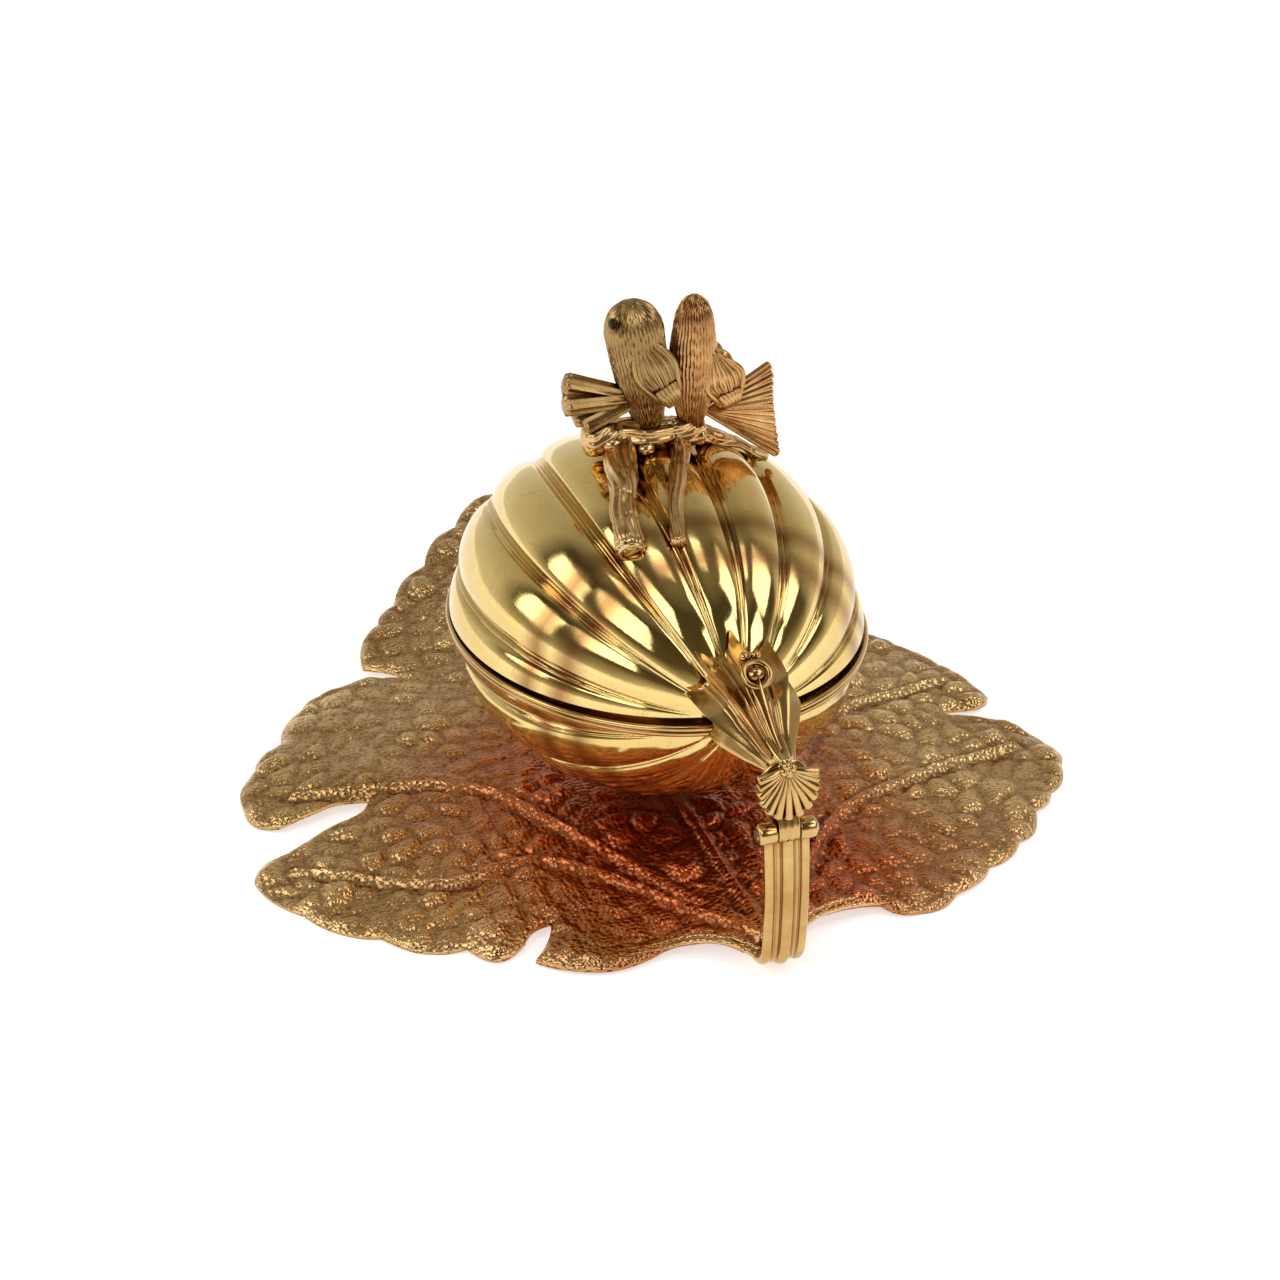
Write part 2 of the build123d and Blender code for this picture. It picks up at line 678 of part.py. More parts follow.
pieces = {
    "leaf_tray": leaf_tray.part,
    "bowl": bowl.part,
    "bowl_rim": bowl_rim.part,
    "bowl_foot": bowl_foot.part,
    "bowl_screw": bowl_screw.part,
    "leaf_washer": leaf_washer.part,
    "leaf_nut": leaf_nut.part,
    "lower_stem": lower_stem.part,
    "stem_rivet_front": stem_rivets[0].part,
    "stem_rivet_back": stem_rivets[1].part,
    "hinge_pin": hinge_pin.part,
    "lid": lid.part,
    "lid_band": lid_band.part,
    "calyx": calyx.part,
    "calyx_rivet": calyx_rivet.part,
    "upper_stem": upper_stem.part,
    "twig": drilled_twig.part,
    "twig_screw_left": finial_screws[0].part,
    "twig_screw_right": finial_screws[1].part,
    "bird_left": bird_left.part,
    "bird_right": bird_right.part,
}

# The frame's origin is the middle of the whole casket's box, on the table
boxes = [piece.bounding_box() for piece in pieces.values()]
middle_x = (min(box.min.X for box in boxes) + max(box.max.X for box in boxes)) / 2
middle_y = (min(box.min.Y for box in boxes) + max(box.max.Y for box in boxes)) / 2
home = Location((-middle_x, -middle_y, 0))
os.makedirs("parts", exist_ok=True)
for name, piece in pieces.items():
    placed = piece.moved(home)
    placed.label = name
    export_step(placed, f"parts/{name}.step")
    size = placed.bounding_box()
    print(name, placed.is_valid, len(placed.solids()), [round(v, 2) for v in (*size.min, *size.max)])
print("moved by", home.position, "hinge at", (home.position + Vector(0, hinge_y, hinge_z)))
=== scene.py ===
import math
import bpy
import bmesh
import numpy as np
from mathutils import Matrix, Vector
from mathutils.geometry import delaunay_2d_cdt


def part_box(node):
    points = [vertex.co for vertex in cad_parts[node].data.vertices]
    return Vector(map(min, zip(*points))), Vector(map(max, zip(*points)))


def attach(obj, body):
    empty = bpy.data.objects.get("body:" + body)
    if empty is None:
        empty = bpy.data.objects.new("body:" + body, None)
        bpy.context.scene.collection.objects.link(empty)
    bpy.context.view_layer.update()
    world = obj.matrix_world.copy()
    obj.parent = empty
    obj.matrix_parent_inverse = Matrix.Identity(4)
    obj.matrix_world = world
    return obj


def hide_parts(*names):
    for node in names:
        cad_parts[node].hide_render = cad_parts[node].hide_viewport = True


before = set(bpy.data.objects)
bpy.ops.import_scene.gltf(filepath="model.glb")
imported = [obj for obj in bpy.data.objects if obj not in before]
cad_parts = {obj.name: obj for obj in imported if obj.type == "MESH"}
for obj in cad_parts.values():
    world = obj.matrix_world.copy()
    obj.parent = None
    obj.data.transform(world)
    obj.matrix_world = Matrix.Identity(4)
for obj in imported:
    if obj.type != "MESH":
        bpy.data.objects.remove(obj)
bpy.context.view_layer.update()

mm = 0.001
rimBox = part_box("bowl_rim")
homeX = (rimBox[0][0] + rimBox[1][0]) / 2      # middle of the melon in the frame
homeY = (rimBox[0][1] + rimBox[1][1]) / 2
rimZ = rimBox[1][2]
tau = 2 * math.pi


def place(points):
    # points in millimetres from the melon's foot on the table, into the frame
    points = np.asarray(points, dtype=float) * mm
    return points + np.array([homeX, homeY, 0.0])


def addObject(name, data):
    made = bpy.data.objects.new(name, data)
    bpy.context.scene.collection.objects.link(made)
    return made


def keepMesh(name, mesh, body, material, replaced=(), smoothAngle=45):
    # a finished mesh rides its body and stands in for the solids that it names
    piece = addObject(name, mesh)
    mesh.materials.clear()
    mesh.materials.append(material)
    mesh.polygons.foreach_set("use_smooth", [True] * len(mesh.polygons))
    mesh.set_sharp_from_angle(angle=math.radians(smoothAngle))
    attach(piece, body)
    if replaced:
        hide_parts(*replaced)


def meshFrom(name, points, faces):
    mesh = bpy.data.meshes.new(name)
    mesh.from_pydata([tuple(p) for p in points], [], faces)
    mesh.update()
    return mesh


def faceOutward(mesh, weld=0.0):
    bm = bmesh.new()
    bm.from_mesh(mesh)
    if weld:
        bmesh.ops.remove_doubles(bm, verts=bm.verts, dist=weld)
    bmesh.ops.recalc_face_normals(bm, faces=bm.faces)
    bm.to_mesh(mesh)
    bm.free()
    return mesh


def joinMeshes(name, parts):
    # several (points, faces) lists in millimetres become one mesh in the frame
    allPoints, allFaces, start = [], [], 0
    for points, faces in parts:
        allPoints.append(np.asarray(points, dtype=float))
        allFaces += [tuple(i + start for i in face) for face in faces]
        start += len(points)
    return faceOutward(meshFrom(name, place(np.vstack(allPoints)), allFaces), weld=0.02 * mm)


def gridFaces(rows, columns, wrapRows=False, wrapColumns=False):
    faces = []
    for r in range(rows if wrapRows else rows - 1):
        for c in range(columns if wrapColumns else columns - 1):
            a, b = r, (r + 1) % rows
            d, e = c, (c + 1) % columns
            faces.append((a * columns + d, a * columns + e, b * columns + e, b * columns + d))
    return faces


def closedGrid(rows, columns):
    # a tube of rings with one face over each end
    faces = gridFaces(rows, columns, wrapColumns=True)
    faces.append(tuple(range(columns))[::-1])
    faces.append(tuple((rows - 1) * columns + k for k in range(columns)))
    return faces


def spline(points, count):
    # Catmull-Rom through the points, evenly stepped
    points = np.asarray(points, dtype=float)
    ends = np.vstack([2 * points[0] - points[1], points, 2 * points[-1] - points[-2]])
    out = []
    for t in np.linspace(0, len(points) - 1 - 1e-9, count):
        i = int(t)
        f = t - i
        a, b, c, d = ends[i], ends[i + 1], ends[i + 2], ends[i + 3]
        linear, square, cube = c - a, 2 * a - 5 * b + 4 * c - d, 3 * b - a - 3 * c + d
        out.append(0.5 * (2 * b + linear * f + square * f * f + cube * f ** 3))
    return np.array(out)


def limb(path, radii, sides=24, side=(1, 0, 0), shape=None, count=40, capSteps=4, flatten=1.0):
    # a round or fluted bar along a path: radii by station, shape(angle, along) scales the radius
    line = spline(path, count)
    width = spline([[r] for r in radii], count)[:, 0]
    tangents = np.gradient(line, axis=0)
    tangents /= np.linalg.norm(tangents, axis=1)[:, None]
    sideAxis = np.array(side, dtype=float)
    capLength = 0.45      # share of the end radius

    def ring(center, tangent, radius, along):
        a = sideAxis - tangent * np.dot(sideAxis, tangent)
        a /= np.linalg.norm(a)
        b = np.cross(tangent, a)
        angle = np.linspace(0, tau, sides, endpoint=False)
        scale = np.array([shape(x, along) for x in angle]) if shape else 1.0
        r = radius * scale
        return center + np.outer(r * np.cos(angle), a) + np.outer(r * np.sin(angle) * flatten, b)

    def cap(end, outward, along):
        # rings of the rounded end, from its tip inward
        out = []
        for k in range(capSteps):
            f = (k + 0.5) / capSteps * math.pi / 2
            center = line[end] + outward * tangents[end] * width[end] * capLength * math.cos(f)
            out.append(ring(center, tangents[end], width[end] * math.sin(f), along))
        return out

    rings = cap(0, -1, 0)
    rings += [ring(line[k], tangents[k], width[k], k / (count - 1)) for k in range(count)]
    rings += cap(-1, 1, 1)[::-1]
    return np.vstack(rings), closedGrid(len(rings), sides)


def towards(around, up):
    # unit vector from the melon, angles in degrees, 0 around is straight in front
    a, e = math.radians(around), math.radians(up)
    return Vector((math.sin(a) * math.cos(e), -math.cos(a) * math.cos(e), math.sin(e)))


# camera, lamps and floor

cameraLook = dict(
    azimuth=-18.5,
    elevation=26.0,
    distance=0.600,
    lens=80.4,
    sensor=36,
    shiftX=-0.0117,
    shiftY=-0.0231,
)
backward = towards(cameraLook["azimuth"], cameraLook["elevation"])
target = Vector((homeX, homeY, rimZ))
cameraData = bpy.data.cameras.new("camera")
cameraData.lens = cameraLook["lens"]
cameraData.sensor_width = cameraLook["sensor"]
cameraData.shift_x = cameraLook["shiftX"]
cameraData.shift_y = cameraLook["shiftY"]
cameraData.clip_start = 0.01
camera = addObject("camera", cameraData)
camera.location = target + backward * cameraLook["distance"]
camera.rotation_euler = backward.to_track_quat("Z", "Y").to_euler()
bpy.context.scene.camera = camera
bpy.context.scene.view_settings.view_transform = "Standard"

lampLook = dict(
    # name: (degrees around, degrees up, distance, width, height, watts)
    windowLeftFar=(-103, 29, 0.90, 0.38, 0.54, 1.50),
    windowLeft=(-55, 38, 0.90, 0.56, 0.47, 1.95),
    windowRight=(66, 48, 0.90, 0.42, 0.48, 1.50),
    windowRightLow=(32, 32, 0.90, 0.38, 0.32, 0.90),
    skylight=(-10, 84, 0.90, 0.30, 0.26, 0.50),
)
for lampName, (around, up, distance, width, height, watts) in lampLook.items():
    out = towards(around, up)
    lampData = bpy.data.lights.new(lampName, "AREA")
    lampData.shape = "RECTANGLE"
    lampData.size = width
    lampData.size_y = height
    lampData.energy = watts
    lamp = addObject(lampName, lampData)
    lamp.location = target + out * distance
    lamp.rotation_euler = out.to_track_quat("Z", "Y").to_euler()


def nodesOf(owner):
    owner.use_nodes = True
    tree = owner.node_tree
    tree.nodes.clear()
    return tree


class Maker:
    # shorthand for wiring nodes
    def __init__(self, tree):
        self.tree = tree

    def node(self, kind, inputs=None, **settings):
        made = self.tree.nodes.new(kind)
        for key, value in settings.items():
            setattr(made, key, value)
        for key, value in (inputs or {}).items():
            self.put(made.inputs[key], value)
        return made

    def out(self, kind, inputs=None, **settings):
        return self.node(kind, inputs, **settings).outputs[0]

    def put(self, socket, value):
        if isinstance(value, bpy.types.NodeSocket):
            self.tree.links.new(value, socket)
        else:
            socket.default_value = value

    def math(self, operation, a, b=None, c=None):
        made = self.tree.nodes.new("ShaderNodeMath")
        made.operation = operation
        for i, value in enumerate((a, b, c)):
            if value is not None:
                self.put(made.inputs[i], value)
        return made.outputs[0]

    def ramp(self, value, stops):
        made = self.tree.nodes.new("ShaderNodeValToRGB")
        while len(made.color_ramp.elements) < len(stops):
            made.color_ramp.elements.new(0.5)
        for element, (at, color) in zip(made.color_ramp.elements, stops):
            element.position = at
            element.color = (*color, 1)
        self.put(made.inputs[0], value)
        return made.outputs[0]

    def mix(self, factor, a, b):
        made = self.tree.nodes.new("ShaderNodeMix")
        made.data_type = "RGBA"
        self.put(made.inputs[0], factor)
        for socket, value in ((made.inputs[6], a), (made.inputs[7], b)):
            self.put(socket, (*value, 1) if isinstance(value, tuple) else value)
        return made.outputs[2]

    def span(self, value, low, high, toLow=0.0, toHigh=1.0):
        # the value mapped from low..high, held at the ends
        limits = {"Value": value, "From Min": low, "From Max": high, "To Min": toLow, "To Max": toHigh}
        return self.out("ShaderNodeMapRange", limits)

    def noise(self, where, scale, **inputs):
        return self.node("ShaderNodeTexNoise", {"Vector": where, "Scale": scale, **inputs}).outputs["Fac"]

    def vector(self, *fields):
        return self.out("ShaderNodeCombineXYZ", {k: field.socket for k, field in enumerate(fields)})

    def vectorMath(self, operation, a, b=(0, 0, 0)):
        return self.node("ShaderNodeVectorMath", {0: a, 1: b}, operation=operation).outputs["Value"]


skyLook = dict(
    # colours by height of the direction: 0 is the horizon, 1 is straight up
    front=[(0.0, (0.62, 0.58, 0.50)), (0.14, (0.34, 0.30, 0.22)), (0.30, (0.10, 0.082, 0.045)),
              (0.80, (0.065, 0.053, 0.03)), (1.0, (0.26, 0.24, 0.19))],
    back=[(0.0, (0.78, 0.76, 0.70)), (0.30, (0.62, 0.60, 0.53)), (0.72, (0.44, 0.41, 0.34)),
             (1.0, (0.26, 0.24, 0.19))],
    backShare=(0.18, 0.40),
)
world = bpy.data.worlds.new("studio")
bpy.context.scene.world = world
make = Maker(nodesOf(world))
direction = make.node("ShaderNodeTexCoord").outputs["Generated"]
height = make.node("ShaderNodeSeparateXYZ", {0: direction}).outputs[2]
frontAngle = math.radians(cameraLook["azimuth"])
rearward = (-math.sin(frontAngle), math.cos(frontAngle), 0)
behind = make.vectorMath("DOT_PRODUCT", direction, rearward)
backShare = make.span(behind, *skyLook["backShare"])
sky = make.mix(backShare, make.ramp(height, skyLook["front"]), make.ramp(height, skyLook["back"]))
backdrop = make.mix(make.node("ShaderNodeLightPath").outputs["Is Camera Ray"], sky, (1.0, 1.0, 1.0))
background = make.out("ShaderNodeBackground", {"Color": backdrop, "Strength": 1.0})
make.put(make.node("ShaderNodeOutputWorld").inputs[0], background)

floorLook = dict(
    # glow: it grows from the first to the second distance, and by so much, so that the shadow stays
    reach=6.0, color=(0.86, 0.86, 0.86, 1), glow=(0.25, 1.4, 0.60, 1.0),
)
reach = floorLook["reach"]
corners = [(-reach, -reach, 0), (reach, -reach, 0), (reach, reach, 0), (-reach, reach, 0)]
floorMesh = meshFrom("floor", corners, [(0, 1, 2, 3)])
floor = addObject("floor", floorMesh)
floorPaint = bpy.data.materials.new("paleFloor")
make = Maker(nodesOf(floorPaint))
path = make.node("ShaderNodeLightPath").outputs
seen = make.math("MAXIMUM", path["Is Glossy Ray"], path["Is Transmission Ray"])
seen = make.math("MAXIMUM", path["Is Camera Ray"], seen)
away = make.vectorMath("LENGTH", make.node("ShaderNodeTexCoord").outputs["Object"])
strength = make.math("MULTIPLY", seen, make.span(away, *floorLook["glow"]))
glow = make.out("ShaderNodeEmission", {"Color": (1, 1, 1, 1), "Strength": strength})
matt = make.out("ShaderNodeBsdfDiffuse", {"Color": floorLook["color"]})
both = make.out("ShaderNodeAddShader", {0: matt, 1: glow})
make.put(make.node("ShaderNodeOutputMaterial").inputs[0], both)
floorMesh.materials.append(floorPaint)
print("camera, lamps and floor")


# finishes

def giltMetal(name, look):
    # gold plate over brass: tone, darker hollows, painted shade in the corners, the bowl's painted shadow and
    # reflection, fine pits and a worn gloss
    material = bpy.data.materials.new(name)
    make = Maker(nodesOf(material))
    where = make.node("ShaderNodeTexCoord").outputs["Object"]
    cloud = make.noise(where, look["cloudScale"], Detail=6.0, Roughness=0.6)
    grain = make.noise(where, look["grainScale"], Detail=4.0, Roughness=0.7)
    streak = make.noise(where, look["cloudScale"] * look["streakShare"], Detail=3.0, Distortion=1.5)
    paintedBowlShade = make.node("ShaderNodeAttribute", attribute_name="paintedBowlShade").outputs["Fac"]
    hollow = make.node("ShaderNodeAttribute", attribute_name="hollow").outputs["Fac"]
    # ambient occlusion gives painted shade in corners and creases
    corner = make.node("ShaderNodeAmbientOcclusion", {"Distance": look["cornerShadeReach"]}, samples=6)

    tone = make.ramp(cloud, [(0.32, look["warm"]), (0.68, look["pale"])])
    # painted shadow and reflection of the bowl: the leaf round the bowl turns a darker red
    tone = make.mix(make.math("MULTIPLY", paintedBowlShade, look["paintedBowlShadeShare"]), tone, look["paintedBowlShade"])
    paintedCornerShade = make.math("MULTIPLY", make.math("SUBTRACT", 1.0, corner.outputs["AO"]), look["paintedCornerShade"])
    # darker hollows plus the painted corner shade pull the tone toward the dark colour
    hollowDarkAndCornerShade = make.math("ADD", make.math("MULTIPLY", hollow, make.math("MULTIPLY_ADD", cloud, 0.8, 0.6)), paintedCornerShade)
    tone = make.mix(make.math("MINIMUM", hollowDarkAndCornerShade, 1.0), tone, look["dark"])
    crack = make.ramp(streak, [(0.485, (0, 0, 0)), (0.5, (1, 1, 1)), (0.515, (0, 0, 0))])
    tone = make.mix(make.math("MULTIPLY", crack, look["tarnish"]), tone, look["dark"])

    roughness = make.math("MULTIPLY_ADD", grain, look["roughSpread"], look["rough"])
    roughness = make.math("ADD", roughness, make.math("MULTIPLY", hollow, look["hollowRough"]))
    pits = {"Height": grain, "Strength": look["grainBump"], "Distance": 0.0002}
    normal = make.out("ShaderNodeBump", pits)
    if look["stipple"]:
        punch = {"Vector": where, "Scale": look["stippleScale"], "Randomness": 0.75}
        depth = make.node("ShaderNodeTexVoronoi", punch, feature="F1").outputs["Distance"]
        dimple = {"Height": depth, "Strength": look["stipple"], "Distance": 0.0005, "Normal": normal}
        normal = make.out("ShaderNodeBump", dimple, invert=True)
    metal = {"Base Color": tone, "Roughness": roughness, "Normal": normal, "Metallic": 1.0}
    make.put(make.node("ShaderNodeOutputMaterial").inputs[0], make.out("ShaderNodeBsdfPrincipled", metal))
    return material


goldLook = dict(
    cloudScale=30.0, grainScale=1500.0, streakShare=6, paintedBowlShadeShare=0.9, tarnish=0.22,
    warm=(0.75, 0.52, 0.18), pale=(0.87, 0.68, 0.29), dark=(0.30, 0.12, 0.035),
    paintedBowlShade=(0.66, 0.42, 0.15),
    paintedCornerShade=0.9, cornerShadeReach=0.0015, rough=0.05, roughSpread=0.06, hollowRough=0.15,
    grainBump=0.05, stipple=0.0,
)
leafLook = dict(
    goldLook, warm=(0.56, 0.32, 0.12), pale=(0.92, 0.65, 0.31), dark=(0.20, 0.06, 0.018), cloudScale=24.0,
    rough=0.16, roughSpread=0.12, stipple=0.85, stippleScale=820.0, grainBump=0.1, paintedBowlShade=(0.60, 0.135, 0.048),
    cornerShadeReach=0.003, paintedCornerShade=0.45, tarnish=0.25,
)
stemLook = dict(
    goldLook, warm=(0.52, 0.30, 0.10), pale=(0.70, 0.48, 0.20), dark=(0.20, 0.075, 0.018),
    rough=0.14, paintedCornerShade=1.6, cloudScale=120.0,
)
twigLook = dict(
    goldLook, warm=(0.55, 0.30, 0.11), pale=(0.82, 0.60, 0.30), dark=(0.16, 0.05, 0.015),
    rough=0.2, paintedCornerShade=1.4, cloudScale=150.0, paintedBowlShade=(0.45, 0.12, 0.035),
)
birdLook = dict(
    goldLook, warm=(0.29, 0.165, 0.06), pale=(0.55, 0.36, 0.15), dark=(0.08, 0.035, 0.012),
    rough=0.24, paintedCornerShade=1.4, cloudScale=160.0,
)
coralLook = dict(
    birdLook, warm=(0.46, 0.22, 0.08), pale=(0.74, 0.46, 0.20), dark=(0.16, 0.04, 0.012),
    paintedBowlShade=(0.40, 0.09, 0.03),
)
eyeLook = dict(birdLook, warm=(0.03, 0.02, 0.012), pale=(0.06, 0.04, 0.02), rough=0.2)
pinLook = dict(goldLook, warm=(0.55, 0.50, 0.42), pale=(0.65, 0.62, 0.56), dark=(0.12, 0.09, 0.06), rough=0.25)

melonGold = giltMetal("melonGold", goldLook)
leafGold = giltMetal("leafGold", leafLook)
stemGold = giltMetal("stemGold", stemLook)
twigGold = giltMetal("twigGold", twigLook)
birdGold = giltMetal("birdGold", birdLook)
birdCopper = giltMetal("birdCopper", coralLook)
darkEye = giltMetal("darkEye", eyeLook)
pinSteel = giltMetal("pinSteel", pinLook)


def setShade(mesh, values, layerName="hollow"):
    layer = mesh.attributes.new(layerName, "FLOAT", "POINT")
    layer.data.foreach_set("value", np.asarray(values, dtype=np.float32))


# melon shells, one Geometry Nodes tree for both halves

melonShape = dict(
    halfWidth=41.0, halfLength=50.5, middleZ=43.0, lidRise=36.0, bowlDepth=33.4,
    lobes=16.0, bulge=1.6, wall=1.8, lidGap=1.0, rimBeads=2.4,
    ridge=0.42, dip=0.5, around=801, along=120, outerPart=0.8,
    # across one lobe, 0 is the crest and 1 the groove: (place, steepness) of each feature
    crestWidth=1.12, crestPower=2.7, cordPeak=(1.0, 16.0), dipPeak=(0.88, 9.0),
    grooveDarkPeak=(0.92, 12.0), grooveDark=0.85, poleFade=3.0,
)
melonLengths = ("halfWidth", "halfLength", "bulge", "wall", "ridge", "dip")


class Field:
    # arithmetic on geometry node fields
    maker = None

    def __init__(self, socket):
        self.socket = socket

    def use(self, operation, other=None):
        raw = [x.socket if isinstance(x, Field) else x for x in (self, other)]
        return Field(Field.maker.math(operation, *raw))

    def __add__(self, other):
        return self.use("ADD", other)

    def __sub__(self, other):
        return self.use("SUBTRACT", other)

    def __mul__(self, other):
        return self.use("MULTIPLY", other)

    def __truediv__(self, other):
        return self.use("DIVIDE", other)

    def __pow__(self, other):
        return self.use("POWER", other)

    def flipped(self):
        # one minus the field
        return self * -1.0 + 1.0

    def peak(self, at, steepness):
        # 1 where the field is at this value, down to 0 on both sides
        return ((self - at).use("ABSOLUTE") * -steepness + 1.0).use("MAXIMUM", 0.0)


def newTree(name, inputNames, counts):
    # counts are whole numbers, and every tree also takes the melon's middle
    inputs = {**dict.fromkeys((*inputNames, "middleX", "middleY", "middleZ"), 0.0), **counts}
    tree = bpy.data.node_groups.new(name, "GeometryNodeTree")
    tree.interface.new_socket(name="Geometry", in_out="OUTPUT", socket_type="NodeSocketGeometry")
    sockets = {}
    for inputName, value in inputs.items():
        kind = "NodeSocketInt" if isinstance(value, int) else "NodeSocketFloat"
        socket = tree.interface.new_socket(name=inputName, in_out="INPUT", socket_type=kind)
        socket.default_value = value
        sockets[inputName] = socket.identifier
    make = Maker(tree)
    Field.maker = make
    start = make.node("NodeGroupInput")
    fields = {inputName: Field(start.outputs[inputName]) for inputName in inputs}
    return tree, make, fields, sockets


def finishTree(make, geometry, material):
    real = make.out("GeometryNodeRealizeInstances", {0: geometry})
    painted = make.out("GeometryNodeSetMaterial", {"Geometry": real, "Material": material})
    make.put(make.node("NodeGroupOutput").inputs[0], painted)


def growMesh(name, tree, sockets, lengths, numbers):
    # runs the tree on an empty object and keeps the result as a plain mesh, lengths in millimetres
    seed = addObject(name + "Seed", bpy.data.meshes.new(name + "Seed"))
    modifier = seed.modifiers.new("grow", "NODES")
    modifier.node_group = tree
    values = {inputName: length * mm for inputName, length in lengths.items()}
    values.update(numbers, middleX=homeX, middleY=homeY, middleZ=rimZ)
    for inputName, value in values.items():
        modifier[sockets[inputName]] = value
    grown = bpy.data.meshes.new_from_object(seed.evaluated_get(bpy.context.evaluated_depsgraph_get()))
    seed.modifiers.remove(modifier)
    bpy.data.objects.remove(seed)
    grown.name = name
    return grown


def melonTree(material):
    shape = melonShape
    names = (*melonLengths, "rise", "edge", "side", "lobes")
    tree, make, given, sockets = newTree("lobedShell", names, {"around": 200, "along": 100})
    steps = {"Vertices X": given["along"].socket, "Vertices Y": given["around"].socket}
    grid = make.out("GeometryNodeMeshGrid", {"Size X": 1.0, "Size Y": 1.0, **steps})
    split = make.node("ShaderNodeSeparateXYZ", {0: make.node("GeometryNodeInputPosition").outputs[0]})
    across = (Field(split.outputs[0]) + 0.5) * math.pi      # 0..pi from pole to pole
    around = Field(split.outputs[1]) + 0.5      # over the outer skin, then back
    inner = around.use("GREATER_THAN", shape["outerPart"])
    outer = inner.flipped()
    outTurn = around * outer * (1 / shape["outerPart"])
    turn = outTurn + around.flipped() * inner * (1 / (1 - shape["outerPart"]))
    width = given["halfWidth"] - given["wall"] * inner
    length = given["halfLength"] - given["wall"] * inner
    rise = given["rise"] - given["wall"] * inner
    edgeShare = given["edge"] / rise
    reach = (edgeShare * edgeShare).flipped().use("SQRT")      # where the edge meets the pole axis
    alongY = across.use("COSINE") * -1.0 * reach
    share = (alongY * alongY).flipped().use("SQRT")      # radius of this section
    low = (edgeShare / (share.use("MAXIMUM", 0.0001))).use("MINIMUM", 1.0).use("ARCSINE")
    angle = low + turn * (low * -2.0 + math.pi)
    trueAngle = (angle.use("SINE") * rise).use("ARCTAN2", angle.use("COSINE") * width)
    step = given["lobes"] / tau
    phase = (trueAngle * step + 0.5).use("FRACT") * 2.0 - 1.0
    offCrest = phase.use("ABSOLUTE")
    crest = ((offCrest * shape["crestWidth"]) ** shape["crestPower"]).flipped().use("MAXIMUM", 0.0)
    fadeOut = (share * shape["poleFade"]).use("MINIMUM", 1.0)
    cord = offCrest.peak(*shape["cordPeak"]) * given["ridge"] * fadeOut
    dip = offCrest.peak(*shape["dipPeak"]) * given["dip"] * fadeOut
    swell = (crest * given["bulge"] + cord - dip) * outer
    px = angle.use("COSINE") * (width + swell) * share + given["middleX"]
    py = alongY * length + given["middleY"]
    up = (angle.use("SINE") * (rise + swell) * share).use("MAXIMUM", given["edge"])
    spot = make.vector(px, py, up * given["side"] + given["middleZ"])
    moved = make.out("GeometryNodeSetPosition", {"Geometry": grid, "Position": spot})
    # the grooves are made darker through the hollow attribute
    hollow = offCrest.peak(*shape["grooveDarkPeak"]) * outer * shape["grooveDark"]
    shade = {"Geometry": moved, "Name": "hollow", "Value": hollow.socket}
    stored = make.out("GeometryNodeStoreNamedAttribute", shade, data_type="FLOAT", domain="POINT")
    merged = make.out("GeometryNodeMergeByDistance", {"Geometry": stored, "Distance": 0.01 * mm})
    finishTree(make, merged, material)
    return tree, sockets


melonNodes, melonSockets = melonTree(melonGold)


def melonHalf(name, rise, edge, side):
    lengths = {**{key: melonShape[key] for key in melonLengths}, "rise": rise, "edge": edge}
    numbers = {**{key: melonShape[key] for key in ("lobes", "around", "along")}, "side": side}
    return faceOutward(growMesh(name, melonNodes, melonSockets, lengths, numbers))


lidMesh = melonHalf("melonLid", melonShape["lidRise"], melonShape["lidGap"], 1.0)
keepMesh("melonLid", lidMesh, "lid", melonGold, ("lid",), smoothAngle=60)
bowlMesh = melonHalf("melonBowl", melonShape["bowlDepth"], melonShape["rimBeads"], -1.0)
keepMesh("melonBowl", bowlMesh, "base", melonGold, ("bowl",), smoothAngle=60)
print("melon shells")


# vine leaf

